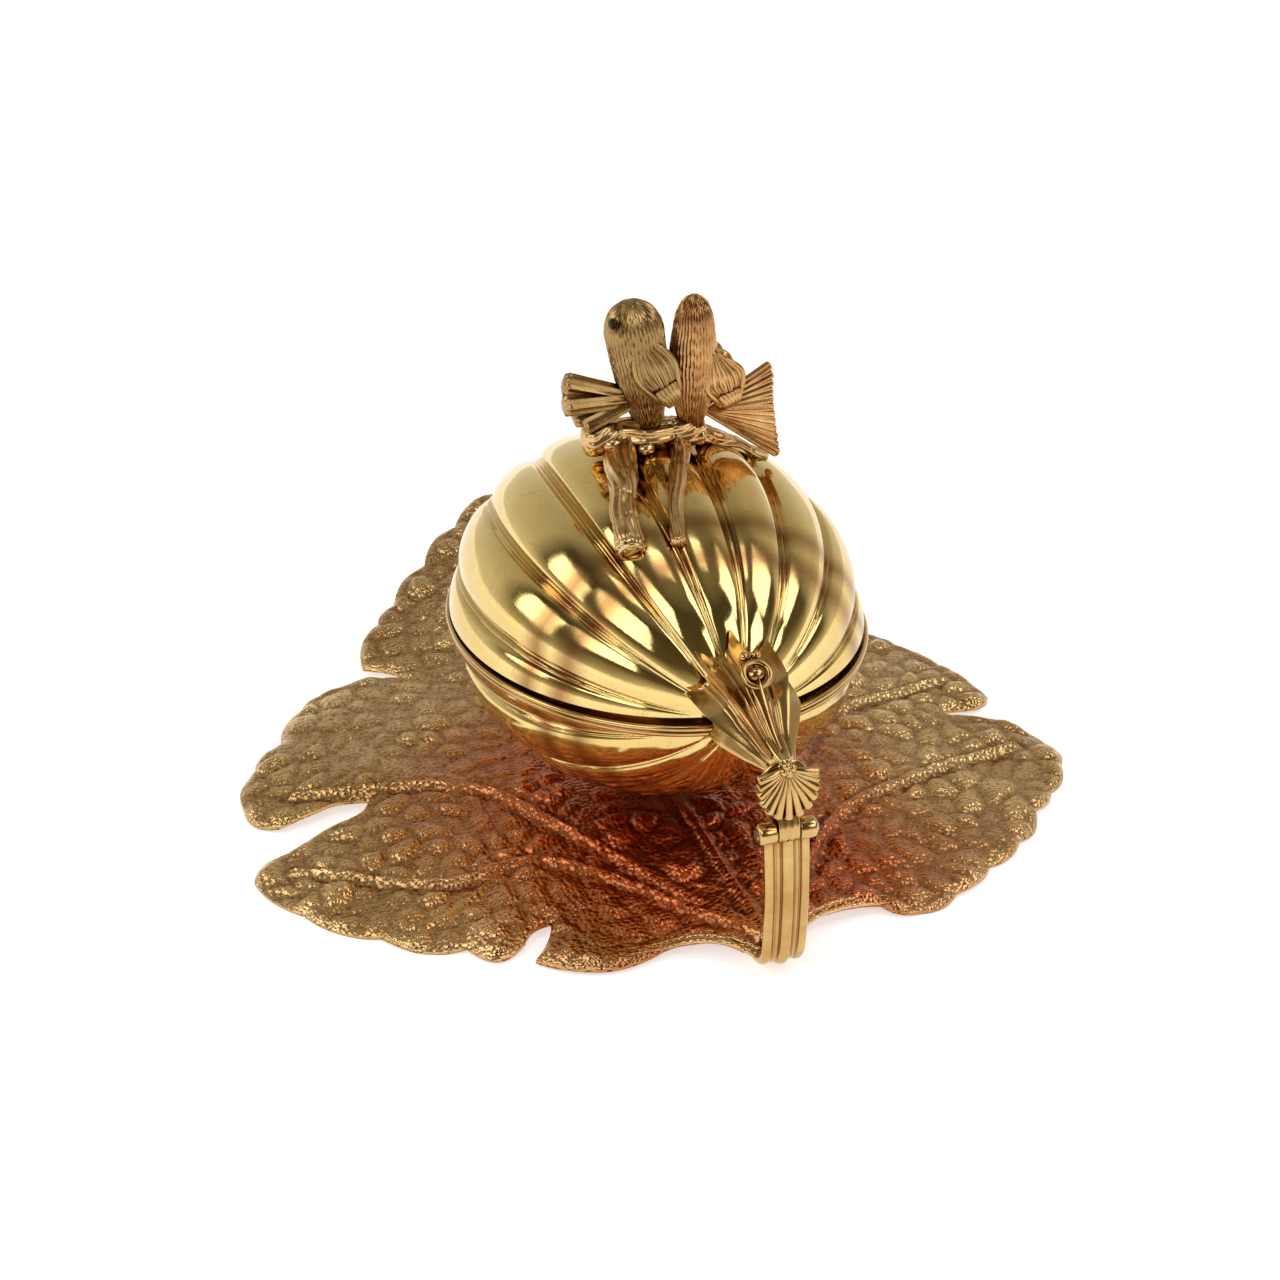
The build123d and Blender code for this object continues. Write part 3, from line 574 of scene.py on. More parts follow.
leafShape = dict(
    thickness=1.6, crown=5.0, edge=1.5, halfWidth=88.0, frontReach=80.0, backReach=86.0,
    middleY=5.0, lobeStart=42.0, lobeLength=88.0, lobeCrown=0.7, lobeRise=11.5, lobePower=1.6,
    lobeDroop=0.0016, arch=2.2, archWidth=16.0, ripple=0.7, rippleLength=27.0, petioleY=-70.5,
    blister=1.35, blisterSize=6.6, smallShare=0.12, smallSize=0.45,
    # height, half width at the root and how much of it is gone at the tip
    mainVein=(1.25, 1.35, 0.55), sideVein=(0.75, 0.85, 0.3), veinHeight=1.15,
    trough=0.5, troughAt=2.4, troughWidth=1.1, meshStep=0.95, marginStep=0.8,
    roll=0.5, rollWidth=1.6, lowestTop=0.55, thinnest=0.5, underShare=0.55, underShade=0.3,
)
leafMargin = [
    (-5.5, -70.5, -1.0), (-14.0, -64.5, -0.6), (-20.0, -64.0, 5.0), (-44.0, -58.5, -1.0), (-38.0, -48.5, -1.0),
    (-44.5, -53.0, 4.5), (-55.5, -50.0, 2.6), (-70.5, -40.5, 2.0), (-83.0, -27.0, 1.5), (-90.0, -11.5, 1.4),
    (-82.0, -5.0, 0.8), (-66.0, 3.5, -0.8), (-61.0, 9.5, -1.0), (-69.5, 10.5, 0.6), (-81.0, 7.0, 2.0),
    (-86.5, 17.0, 1.8), (-81.0, 33.0, 1.4), (-73.0, 43.0, 1.8), (-65.0, 59.0, 2.0), (-54.0, 66.0, 1.0),
    (-39.0, 62.0, -0.6), (-47.5, 72.0, 2.2), (-40.5, 86.0, 1.2), (-35.0, 92.5, 1.6), (-24.0, 105.5, 1.8),
    (-13.0, 118.0, 2.4), (2.0, 130.0, 2.4), (15.0, 120.0, 1.8), (26.0, 108.0, 1.8), (36.0, 95.0, 1.4),
    (43.0, 84.0, 2.0), (49.0, 72.0, -0.6), (41.0, 62.0, 1.0), (56.0, 65.0, 1.8), (67.0, 56.0, 1.8),
    (75.0, 44.0, 1.6), (81.0, 32.0, 1.6), (85.0, 14.0, 0.8), (80.0, 9.5, -0.4), (70.0, 9.0, -0.4),
    (81.0, 3.5, 1.6), (88.5, -9.0, 1.8), (87.0, -20.0, 1.5), (80.0, -29.5, 1.3), (73.0, -36.5, 1.8),
    (64.5, -47.0, 1.5), (54.5, -54.0, 1.5), (43.5, -62.0, 1.4), (34.0, -65.5, 1.3), (27.0, -62.0, -0.5),
    (12.0, -63.5, -1.0), (5.5, -70.5, 0.0),
]
mainVeins = [
    [(0, -70.5), (0, -10), (2, 60), (2, 122)],
    [(0, -70.5), (-31, -31), (-56, -29), (-82, -13)],
    [(0, -70.5), (-27, -18), (-42, 5), (-76, 17)],
    [(0, -70.5), (28, -33), (52, -20), (80, -11)],
    [(0, -70.5), (24, -20), (44, 10), (78, 22)],
]
sideVeins = [
    [(-40, 6), (-54, 20), (-62, 52)], [(-43, -29), (-56, -40), (-66, -42)], [(38, 2), (54, 30), (60, 55)],
    [(40, -26), (52, -38), (56, -48)], [(2, 40), (-20, 62), (-30, 84)], [(2, 40), (24, 62), (33, 84)],
    [(2, 70), (-10, 88), (-16, 106)], [(2, 70), (14, 88), (20, 104)],
]


def leafTop(x, y):
    s = leafShape
    reach = np.where(y < s["middleY"], s["frontReach"], s["backReach"])
    spread = (x / s["halfWidth"]) ** 2 + ((y - s["middleY"]) / reach) ** 2
    blade = s["edge"] + s["crown"] * (1 - spread)
    along = np.clip((y - s["lobeStart"]) / (s["lobeLength"] / 2), 0, 1)
    blend = along * along * (3 - 2 * along)
    far = np.maximum(y - s["lobeStart"], 0) / s["lobeLength"]
    lift = s["lobeRise"] * far ** s["lobePower"]
    lobe = s["edge"] + s["crown"] * s["lobeCrown"] + lift - s["lobeDroop"] * x * x
    arch = s["arch"] * np.exp(-(x ** 2 + (y - s["petioleY"]) ** 2) / s["archWidth"] ** 2)
    outward = np.minimum(spread, 1)
    ripple = s["ripple"] * outward * np.sin(tau * x / s["rippleLength"]) * np.sin(tau * y / s["rippleLength"])
    return (1 - blend) * blade + blend * lobe + arch + ripple


def marginLine(step):
    # the leaf's edge as a chain of arcs, sampled evenly
    out = []
    for k, (x, y, swell) in enumerate(leafMargin):
        a = np.array([x, y])
        b = np.array(leafMargin[(k + 1) % len(leafMargin)][:2])
        chord = b - a
        length = np.hypot(*chord)
        left = np.array([-chord[1], chord[0]]) / length
        count = max(2, int(length / step))
        for j in range(count):
            f = j / count
            out.append(a + chord * f + left * swell * 4 * f * (1 - f))
    return np.array(out)


def segmentGap(x, y, a, b):
    # distance to the stretch from a to b, and how far along it the nearest point lies
    d = b - a
    t = np.clip(((x - a[0]) * d[0] + (y - a[1]) * d[1]) / (d @ d), 0, 1)
    return np.hypot(x - a[0] - t * d[0], y - a[1] - t * d[1]), t


def distanceToLines(x, y, lines, samples=60):
    best = np.full(x.shape, 1e9)
    along = np.zeros(x.shape)
    for line in lines:
        pts = spline(line, samples)
        for k in range(samples - 1):
            gap, t = segmentGap(x, y, pts[k], pts[k + 1])
            nearer = gap < best
            best = np.where(nearer, gap, best)
            along = np.where(nearer, (k + t) / (samples - 1), along)
    return best, along


def blisters(x, y, size, seed):
    # rounded cells between the veins, one jittered centre in each square of a grid
    rng = np.random.default_rng(seed)
    span = 64
    jitter = rng.uniform(-0.45, 0.45, (span, span, 2))
    tall = rng.uniform(0.45, 1.2, (span, span))
    cx, cy = x / size, y / size
    ix, iy = np.floor(cx).astype(int), np.floor(cy).astype(int)
    first = np.full(x.shape, 9.0)
    second = np.full(x.shape, 9.0)
    lift = np.ones(x.shape)
    for dx in (-1, 0, 1):
        for dy in (-1, 0, 1):
            jx, jy = (ix + dx) % span, (iy + dy) % span
            px = ix + dx + 0.5 + jitter[jx, jy, 0]
            py = iy + dy + 0.5 + jitter[jx, jy, 1]
            d = np.hypot(cx - px, cy - py)
            closer = d < first
            second = np.where(closer, first, np.minimum(second, d))
            lift = np.where(closer, tall[jx, jy], lift)
            first = np.where(closer, d, first)
    wall = np.clip((second - first) / 0.75, 0, 1)
    return np.sin(wall * math.pi / 2) * lift


def veinRidge(gap, along, height, width, taper):
    return height * leafShape["veinHeight"] * np.exp(-(gap / (width - taper * along)) ** 2)


def leafRelief(x, y, edgeDistance):
    # blisters between the veins, the veins with a trough beside them, and how much darker each hollow is made
    s = leafShape
    mainGap, mainAlong = distanceToLines(x, y, mainVeins)
    sideGap, sideAlong = distanceToLines(x, y, sideVeins)
    bump = blisters(x + 2.2 * np.sin(y / 9), y + 2.2 * np.sin(x / 7), s["blisterSize"], 11)
    small = blisters(x * 1.2 + 0.7 * y + 31, y * 1.2 - 0.7 * x, s["blisterSize"] * s["smallSize"], 12)
    bump += s["smallShare"] * small - s["smallShare"] / 2
    fade = np.clip(mainGap / 2.5, 0, 1) * np.clip(sideGap / 2.0, 0, 1) * np.clip(edgeDistance / 2.0, 0, 1)
    middle = np.clip((np.hypot(x, y) - 14) / 10, 0, 1)      # smooth under the foot collar
    cell = s["blister"] * bump * fade * middle
    veins = veinRidge(mainGap, mainAlong, *s["mainVein"])
    veins = np.maximum(veins, veinRidge(sideGap, sideAlong, *s["sideVein"]))
    trough = -s["trough"] * np.exp(-((mainGap - s["troughAt"]) / s["troughWidth"]) ** 2) * middle
    hollow = np.clip(0.8 - bump, 0, 1) * fade * 0.55 + 0.45 * np.exp(-((mainGap - 2.0) / 0.8) ** 2)
    return veins * middle + cell + trough, hollow


def leafPlan(margin, step):
    # staggered points inside the margin, each with its distance to the edge
    low, high = margin.min(axis=0), margin.max(axis=0)
    xs, ys = [], []
    row = 0
    y = low[1]
    while y < high[1]:
        xs.append(np.arange(low[0] + (row % 2) * step / 2, high[0], step))
        ys.append(np.full(xs[-1].shape, y))
        y += step * 0.866
        row += 1
    px, py = np.concatenate(xs), np.concatenate(ys)
    inside = np.zeros(px.shape, dtype=bool)
    nearest = np.full(px.shape, 1e9)
    for a, b in zip(margin, np.roll(margin, -1, axis=0)):
        crosses = (a[1] > py) != (b[1] > py)
        if b[1] != a[1]:
            inside ^= crosses & (px < (b[0] - a[0]) * (py - a[1]) / (b[1] - a[1]) + a[0])
        nearest = np.minimum(nearest, segmentGap(px, py, a, b)[0])
    keep = inside & (nearest > 0.55 * step)
    return px[keep], py[keep], nearest[keep]


def buildLeaf():
    s = leafShape
    margin = marginLine(s["marginStep"])
    count = len(margin)
    px, py, nearest = leafPlan(margin, s["meshStep"])
    flat = [Vector((float(a), float(b))) for a, b in np.vstack([margin, np.column_stack([px, py])])]
    verts, _, faces, _, _, _ = delaunay_2d_cdt(flat, [], [list(range(count))[::-1]], 1, 1e-6)
    plan = np.array([(v.x, v.y) for v in verts])
    total = len(plan)
    edgeDistance = np.concatenate([np.zeros(count), nearest])[:total]
    x, y = plan[:, 0], plan[:, 1]
    relief, hollow = leafRelief(x, y, edgeDistance)
    base = leafTop(x, y)
    roll = s["roll"] * np.clip(1 - edgeDistance / s["rollWidth"], 0, 1) ** 2
    top = np.maximum(base + relief - roll, s["lowestTop"])
    bottom = np.maximum(base - s["thickness"] + roll * 0.6 + relief * s["underShare"], 0.0)
    bottom = np.minimum(bottom, top - s["thinnest"])
    points = np.vstack([np.column_stack([plan, top]), np.column_stack([plan, bottom])])
    upper = [tuple(f) for f in faces]
    lower = [tuple(i + total for i in reversed(f)) for f in faces]
    wall = [(k, (k + 1) % count, (k + 1) % count + total, k + total) for k in range(count)]
    mesh = faceOutward(meshFrom("vineLeaf", place(points), upper + lower + wall))
    setShade(mesh, np.concatenate([hollow, np.full(total, s["underShade"])]))
    # painted shadow and reflection of the bowl: darker red round its foot and just in front of it
    nearBowl = np.exp(-((np.hypot(x + 4, (y + 14) * 0.85) / 50.0) ** 4))
    lowFront = 0.55 * np.exp(-(((x - 20) / 38.0) ** 2 + ((y + 52) / 16.0) ** 2))
    paintedBowlShade = np.clip(nearBowl + lowFront, 0, 1)
    setShade(mesh, np.concatenate([paintedBowlShade, paintedBowlShade]), "paintedBowlShade")
    return mesh


keepMesh("vineLeaf", buildLeaf(), "base", leafGold, ("leaf_tray",), smoothAngle=55)
print("vine leaf")


# rim of the bowl, one Geometry Nodes tree: two beads and a core that follow its oval

rimShape = dict(
    width=42.55, length=52.05, bead=0.66, upper=0.62, lower=1.78, inset=0.35,
    coreWidth=3.2, coreHeight=melonShape["rimBeads"],
)
rimCounts = dict(steps=260, beadSides=14)


def rimTree(material):
    tree, make, given, sockets = newTree("beadedRim", rimShape, rimCounts)
    joined = make.node("GeometryNodeJoinGeometry")

    def oval(inset, level, profile):
        circle = {"Resolution": given["steps"].socket, "Radius": 1.0}
        ring = make.out("GeometryNodeCurvePrimitiveCircle", circle)
        split = make.node("ShaderNodeSeparateXYZ", {0: make.node("GeometryNodeInputPosition").outputs[0]})
        px = Field(split.outputs[0]) * (given["width"] - inset) + given["middleX"]
        py = Field(split.outputs[1]) * (given["length"] - inset) + given["middleY"]
        spot = make.vector(px, py, given["middleZ"] - level)
        moved = make.out("GeometryNodeSetPosition", {"Geometry": ring, "Position": spot})
        swept = make.out("GeometryNodeCurveToMesh", {"Curve": moved, "Profile Curve": profile})
        make.put(joined.inputs[0], swept)

    circle = {"Resolution": given["beadSides"].socket, "Radius": given["bead"].socket}
    bead = make.out("GeometryNodeCurvePrimitiveCircle", circle)
    box = {"Width": given["coreWidth"].socket, "Height": given["coreHeight"].socket}
    core = make.out("GeometryNodeCurvePrimitiveQuadrilateral", box)
    oval(0.0, given["upper"], bead)
    oval(given["inset"], given["lower"], bead)
    oval(given["coreWidth"] * 0.5, given["coreHeight"] * 0.5, core)
    finishTree(make, joined.outputs[0], material)
    return tree, sockets


rimNodes, rimSockets = rimTree(stemGold)
rim = growMesh("rimBeads", rimNodes, rimSockets, rimShape, rimCounts)
keepMesh("rimBeads", rim, "base", stemGold, ("bowl_rim",), smoothAngle=50)
print("rim")


def ball(center, radius, squash=(1, 1, 1), rings=14, sides=20):
    t = np.linspace(0, math.pi, rings)[1:-1]
    a = np.linspace(0, tau, sides, endpoint=False)
    unit = [(math.sin(u) * math.cos(v), math.sin(u) * math.sin(v), math.cos(u)) for u in t for v in a]
    points = np.array(unit + [(0, 0, 1), (0, 0, -1)]) * radius * np.array(squash) + np.array(center)
    count = len(t)
    faces = gridFaces(count, sides, wrapColumns=True)
    top, bottom = count * sides, count * sides + 1
    for k in range(sides):
        faces.append((top, (k + 1) % sides, k))
        faces.append((bottom, (count - 1) * sides + k, (count - 1) * sides + (k + 1) % sides))
    return points, faces


def flutes(count, depth):
    # a limb's shape with ridges along it
    return lambda angle, along: 1 + depth * math.cos(count * angle)


def loopTube(center, normal, radius, thick, sides=12, steps=40):
    n = np.array(normal, dtype=float)
    n /= np.linalg.norm(n)
    u = np.cross(n, [1, 0, 0])
    u /= np.linalg.norm(u)
    v = np.cross(n, u)
    rows = []
    for t in np.linspace(0, tau, steps, endpoint=False):
        out = math.cos(t) * u + math.sin(t) * v
        for a in np.linspace(0, tau, sides, endpoint=False):
            rows.append(np.array(center) + out * (radius + thick * math.cos(a)) + n * thick * math.sin(a))
    return np.array(rows), gridFaces(steps, sides, wrapRows=True, wrapColumns=True)


# calyx: ribbed bell behind the lid, its ring and two beads

calyxShape = dict(
    # along the stem, height, radius and how far the panels dip between the ribs
    stations=(
        (-53.0, 49.6, 9.4, 0.78), (-54.5, 49.6, 9.2, 0.75), (-58.5, 49.6, 8.7, 0.70), (-62.0, 48.9, 7.4, 0.70),
        (-65.0, 48.0, 6.0, 0.80), (-68.5, 46.9, 4.3, 0.86), (-71.5, 46.1, 3.2, 0.92), (-74.5, 45.8, 2.4, 0.96),
    ),
    rows=48, sides=240, ribs=8, ribHeight=1.25, ribWidth=0.12, panelPower=0.9, fullRib=5,
    fineAt=0.34, fineWidth=0.05, fineShare=0.25, scallop=1.7, lidGap=1.25, fanFrom=-60.0,
    lipFrom=44.4, lipHeight=2.2, lipFront=-54.3,
    ring=((0.0, -60.8, 57.6), (0.0, -0.65, 0.76), 2.6, 0.62), cup=((0.0, -60.2, 56.9), 2.1),
    beads=((-1.15, -56.9, 59.6), (1.15, -56.9, 59.6)), beadSize=1.0,
)


def calyxBell():
    shape, melon = calyxShape, melonShape
    rows = spline(shape["stations"], shape["rows"])
    angles = np.linspace(0, tau, shape["sides"], endpoint=False)
    ribSpan = tau / shape["ribs"]
    offset = ((angles - math.pi / 2) / ribSpan + 0.5) % 1.0 - 0.5      # 0 on a rib
    panel = np.sin((np.abs(offset) * 2) ** shape["panelPower"] * math.pi / 2)
    cord = np.exp(-(offset / shape["ribWidth"]) ** 2)
    fine = np.exp(-((np.abs(offset) - shape["fineAt"]) / shape["fineWidth"]) ** 2) * shape["fineShare"]
    scallop = shape["scallop"] * panel
    points = []
    for y, z, radius, waist in rows:
        r = radius * (1 - (1 - waist) * panel)
        r = r + shape["ribHeight"] * (cord + fine) * min(1.0, radius / shape["fullRib"])
        px, pz = r * np.cos(angles), z + r * np.sin(angles)
        # the scalloped end lies on the lid above the rim, and stands clear of the rim below that
        room = 1 - (px / melon["halfWidth"]) ** 2 - ((pz - melon["middleZ"]) / melon["lidRise"]) ** 2
        onLid = -melon["halfLength"] * np.sqrt(np.clip(room, 0, 1)) - shape["lidGap"] - scallop
        aboveRim = np.clip((pz - shape["lipFrom"]) / shape["lipHeight"], 0, 1)
        front = onLid * aboveRim + np.minimum(shape["lipFront"] - scallop, onLid) * (1 - aboveRim)
        near = np.clip((y - shape["fanFrom"]) / (rows[0][0] - shape["fanFrom"]), 0, 1)
        points.append(np.column_stack([px, y + (front - y) * near, pz]))
    return np.vstack(points), closedGrid(len(rows), len(angles))


bellParts = [calyxBell(), loopTube(*calyxShape["ring"]), ball(*calyxShape["cup"], squash=(1, 0.75, 0.9))]
bellParts += [ball(spot, calyxShape["beadSize"]) for spot in calyxShape["beads"]]
keepMesh("calyxBell", joinMeshes("calyxBell", bellParts), "lid", stemGold, ("calyx",))


# palmette over the hinge, its boss and the middle knuckle

palmetteShape = dict(
    root=(0.0, -77.2, 46.0), rays=13, spread=78.0, length=10.2, sideCut=0.42, lean=10.0,
    rayRoot=0.55, rayTip=0.98, rayArch=0.35, petals=4, petalTurn=0.35, petalSize=0.85,
    buttonOffset=(0, -1.3, 0), button=0.7, webOffset=(0, 1.0, -3.6), webSize=(5.2, 1.25, 5.0),
    neck=((0, -70.5, 46.3), (0, -74.0, 45.9), (0, -76.6, 46.0)), neckSizes=(3.1, 2.5, 1.7),
    neckFlutes=(6, 0.10),
    hinge=(-78.0, 33.0), knuckle=2.1, middleWidth=4.2, slices=33,
    edgeRound=0.35, edgePull=0.22, grooves=3, grooveDepth=0.16,
)


def hingeTongue():
    # tongue of the middle knuckle, grooved down its front
    shape = palmetteShape
    hingeY, hingeZ = shape["hinge"]
    half, r = shape["middleWidth"] / 2, shape["knuckle"]
    arc = np.linspace(math.radians(-180), 0, 22)
    profile = [(hingeY + r * math.cos(t), hingeZ + r * math.sin(t)) for t in arc]
    profile += [(hingeY + r, hingeZ + 10.0), (hingeY + 1.2, hingeZ + 11.5)]
    profile += [(hingeY + 0.6, hingeZ + 5.5), (hingeY - r * 0.8, hingeZ + 2.4)]
    grid = []
    for x in np.linspace(-half, half, shape["slices"]):
        edge = shape["edgePull"] * max(0.0, (abs(x) - half + shape["edgeRound"]) / shape["edgeRound"]) ** 2
        wave = math.cos(tau * (x + half) / (2 * half) * shape["grooves"])
        groove = shape["grooveDepth"] * (0.5 - 0.5 * wave)
        for y, z in profile:
            away = max(math.hypot(y - hingeY, z - hingeZ), 0.01)
            pull = edge + (groove if z > hingeZ - 1.5 and y < hingeY else 0)
            grid.append((x, y - (y - hingeY) / away * pull, z - (z - hingeZ) / away * pull))
    return np.array(grid), closedGrid(shape["slices"], len(profile))


def palmette():
    shape = palmetteShape
    root = np.array(shape["root"])
    raySizes = (shape["rayRoot"], (shape["rayRoot"] + shape["rayTip"]) / 2, shape["rayTip"])
    back = math.sin(math.radians(shape["lean"]))
    parts = []
    for k in range(shape["rays"]):
        turn = math.radians(shape["spread"] * (2 * k / (shape["rays"] - 1) - 1))
        reach = shape["length"] * (1 - shape["sideCut"] * math.sin(turn) ** 2)
        run = np.array([math.sin(turn), -back, -math.cos(turn)]) * reach
        path = [root + run * 0.05, root + run * 0.5 + np.array([0, -shape["rayArch"], 0]), root + run * 0.95]
        parts.append(limb(path, raySizes, sides=14, side=(0, 1, 0), count=12))
    parts.append(ball(root + np.array(shape["webOffset"]), 1.0, squash=shape["webSize"], rings=18, sides=30))
    size = shape["petalSize"]
    for k in range(shape["petals"]):
        a = tau * k / shape["petals"] + shape["petalTurn"]
        petal = root + np.array([math.cos(a) * size, -0.9, math.sin(a) * size])
        parts.append(ball(petal, size, squash=(1, 0.9, 1)))
    parts.append(ball(root + np.array(shape["buttonOffset"]), shape["button"]))
    fluted = flutes(*shape["neckFlutes"])
    parts.append(limb(shape["neck"], shape["neckSizes"], sides=48, shape=fluted, count=16))
    parts.append(hingeTongue())
    return joinMeshes("palmette", parts)


keepMesh("palmette", palmette(), "lid", stemGold, ("upper_stem",))


# lower stem with its reeds and the outer knuckles

reedShape = dict(
    path=((-78.0, 31.4), (-78.6, 25.0), (-78.8, 19.5), (-78.6, 14.0), (-78.0, 8.0), (-77.0, 4.9), (-74.6, 2.9),
             (-71.0, 2.2), (-66.5, 2.4)),
    # reeds side by side, closer to each other toward the foot
    reeds=(-3.6, -1.85, 0.0, 1.85, 3.6), reedSize=(1.05, 0.75, 1.35, 0.75, 1.05), closer=0.10,
    taper=(1, 1, 1, 1, 1, 1, 0.9, 0.8, 0.45), step=0.35,
    coreWidth=4.2, coreDepth=1.05, coreTaper=(1.0, 1.0, 1.0, 1.0, 1.0, 1.0, 1.0, 0.9, 0.7),
    knuckleFrom=2.3, knuckleTo=5.9, knuckle=2.1, knuckleSides=40,
)


def outerKnuckle(flank):
    # turned barrel on one side, rounded at its outer end
    shape = reedShape
    hingeY, hingeZ = palmetteShape["hinge"]
    start, end = flank * shape["knuckleFrom"], flank * shape["knuckleTo"]
    r, sides = shape["knuckle"], shape["knuckleSides"]
    steps = [(start, r - 0.25), (start + flank * 0.12, r - 0.08), (start + flank * 0.3, r)]
    steps += [(end - flank * 0.9, r), (end - flank * 0.5, r * 0.97), (end - flank * 0.15, r * 0.86)]
    steps += [(end, r * 0.62)]
    angle = np.linspace(0, tau, sides, endpoint=False)
    rings = [np.column_stack([np.full(sides, x), hingeY + q * np.cos(angle), hingeZ + q * np.sin(angle)])
             for x, q in steps]
    return np.vstack(rings), closedGrid(len(steps), sides)


def lowerStem():
    shape = reedShape
    last = len(shape["path"]) - 1
    parts = []
    for offset, size in zip(shape["reeds"], shape["reedSize"]):
        forward = shape["step"] if offset == 0 else 0.0
        path = [(offset * (1 - shape["closer"] * k / last), y - forward, z)
                for k, (y, z) in enumerate(shape["path"])]
        parts.append(limb(path, [size * share for share in shape["taper"]], sides=18, count=70))
    core = [(0, y + shape["step"], z) for y, z in shape["path"]]

    def web(angle, along):
        return 1 / math.hypot(math.cos(angle) / shape["coreWidth"], math.sin(angle) / shape["coreDepth"])

    parts.append(limb(core, shape["coreTaper"], sides=36, shape=web, count=60))
    parts += [outerKnuckle(-1), outerKnuckle(1)]
    return joinMeshes("reededStem", parts)


keepMesh("reededStem", lowerStem(), "base", stemGold, ("lower_stem",))


cordShape = dict(
    # lined margin of the leaf that grows out of the stem's foot: each cord's first height, then its plan
    lines=(
        (2.6, ((-3.4, -72.6), (-8.0, -68.4), (-14.0, -65.2), (-20.0, -64.3), (-29.0, -64.6))),
        (3.0, ((-2.4, -71.2), (-8.0, -66.9), (-14.0, -63.6), (-21.0, -62.6), (-31.0, -62.6))),
        (2.6, ((3.4, -72.4), (8.0, -68.2), (13.0, -64.4), (20.0, -63.0), (28.0, -62.6))),
        (3.0, ((2.4, -71.0), (8.0, -66.4), (13.0, -62.4), (20.0, -60.9), (29.0, -60.2))),
    ),
    sizes=(0.62, 0.5, 0.45, 0.4, 0.2), above=0.12,
)
cords = []
for firstHeight, plan in cordShape["lines"]:
    x, y = np.array(plan).T
    heights = leafTop(x, y) + cordShape["above"]
    heights[0] = firstHeight
    path = np.column_stack([x, y, heights])
    cords.append(limb(path, cordShape["sizes"], sides=12, side=(0, 0, 1)))
keepMesh("marginCords", joinMeshes("marginCords", cords), "base", leafGold)
print("stem and hinge")


# twig: bark-covered limbs with sawn ends

twigShape = dict(
    # each limb as stations of a point and a radius
    limbs=(
        (((-14.0, 0.0, 83.8), 3.6), ((-6.0, 0.3, 83.4), 3.5), ((2.0, 0.0, 83.0), 3.3), ((9.5, 0.0, 82.8), 3.0)),
        (((-7.0, 2.0, 81.8), 3.7), ((-11.2, -13.0, 78.4), 2.9), ((-13.4, -21.0, 75.4), 2.6),
         ((-14.5, -28.4, 71.9), 3.0)),
        (((5.5, 1.0, 81.0), 2.3), ((2.6, -8.0, 80.1), 2.0), ((-1.6, -18.0, 77.2), 1.7),
         ((-5.2, -30.0, 72.5), 1.6)),
        (((8.0, 0.5, 82.0), 2.5), ((13.5, 2.0, 79.7), 2.0), ((20.0, 3.6, 75.8), 1.7), ((25.3, 5.0, 72.2), 1.8)),
    ),
    knots=(((-10.0, -3.0, 83.2), 1.9), ((-3.0, -3.2, 81.4), 1.7), ((4.0, -2.8, 81.6), 1.6),
              ((-9.4, -8.5, 79.8), 1.6), ((0.6, -12.6, 79.2), 1.1), ((-13.2, -19.5, 77.0), 1.1)),
    barkDepth=0.10, barkLines=9, firstSeed=5,
    # the cut end's ring: offset from the limb's end, direction, radius and thickness
    cutOffset=(-0.15, -0.9, -0.45), cutRing=((-0.14, -0.85, -0.4), 2.25, 0.5),
)


def barkLimb(stations, seed):
    rng = np.random.default_rng(seed)
    phases = rng.uniform(0, tau, 6)
    depth, lines = twigShape["barkDepth"], twigShape["barkLines"]

    def bark(angle, along):
        twist = angle + 0.8 * along + 0.25 * math.sin(9 * along + phases[0])
        ridge = math.cos(lines * twist + 1.2 * math.sin(14 * along + phases[1]))
        lump = 0.5 * math.sin(3 * angle + 11 * along + phases[2])
        lump += 0.5 * math.sin(2 * angle - 17 * along + phases[3])
        ring = -max(0.0, math.cos(26 * along + phases[4])) ** 8 * 0.5
        return 1 + depth * (0.6 * ridge + 0.8 * lump + ring)

    path, sizes = [spot for spot, _ in stations], [size for _, size in stations]
    return limb(path, sizes, sides=64, side=(0, 0, 1), shape=bark, count=90, capSteps=3)


twigParts = [barkLimb(stations, twigShape["firstSeed"] + k) for k, stations in enumerate(twigShape["limbs"])]
twigParts += [ball(spot, size, squash=(1.15, 0.9, 0.8)) for spot, size in twigShape["knots"]]
cutEnd = np.array(twigShape["limbs"][1][-1][0]) + np.array(twigShape["cutOffset"])
twigParts.append(loopTube(cutEnd, *twigShape["cutRing"]))
keepMesh("barkTwig", joinMeshes("barkTwig", twigParts), "lid", twigGold, ("twig",), smoothAngle=50)
print("twig")


# birds: turned bodies with combed plumage, feathered wings and fluted tails

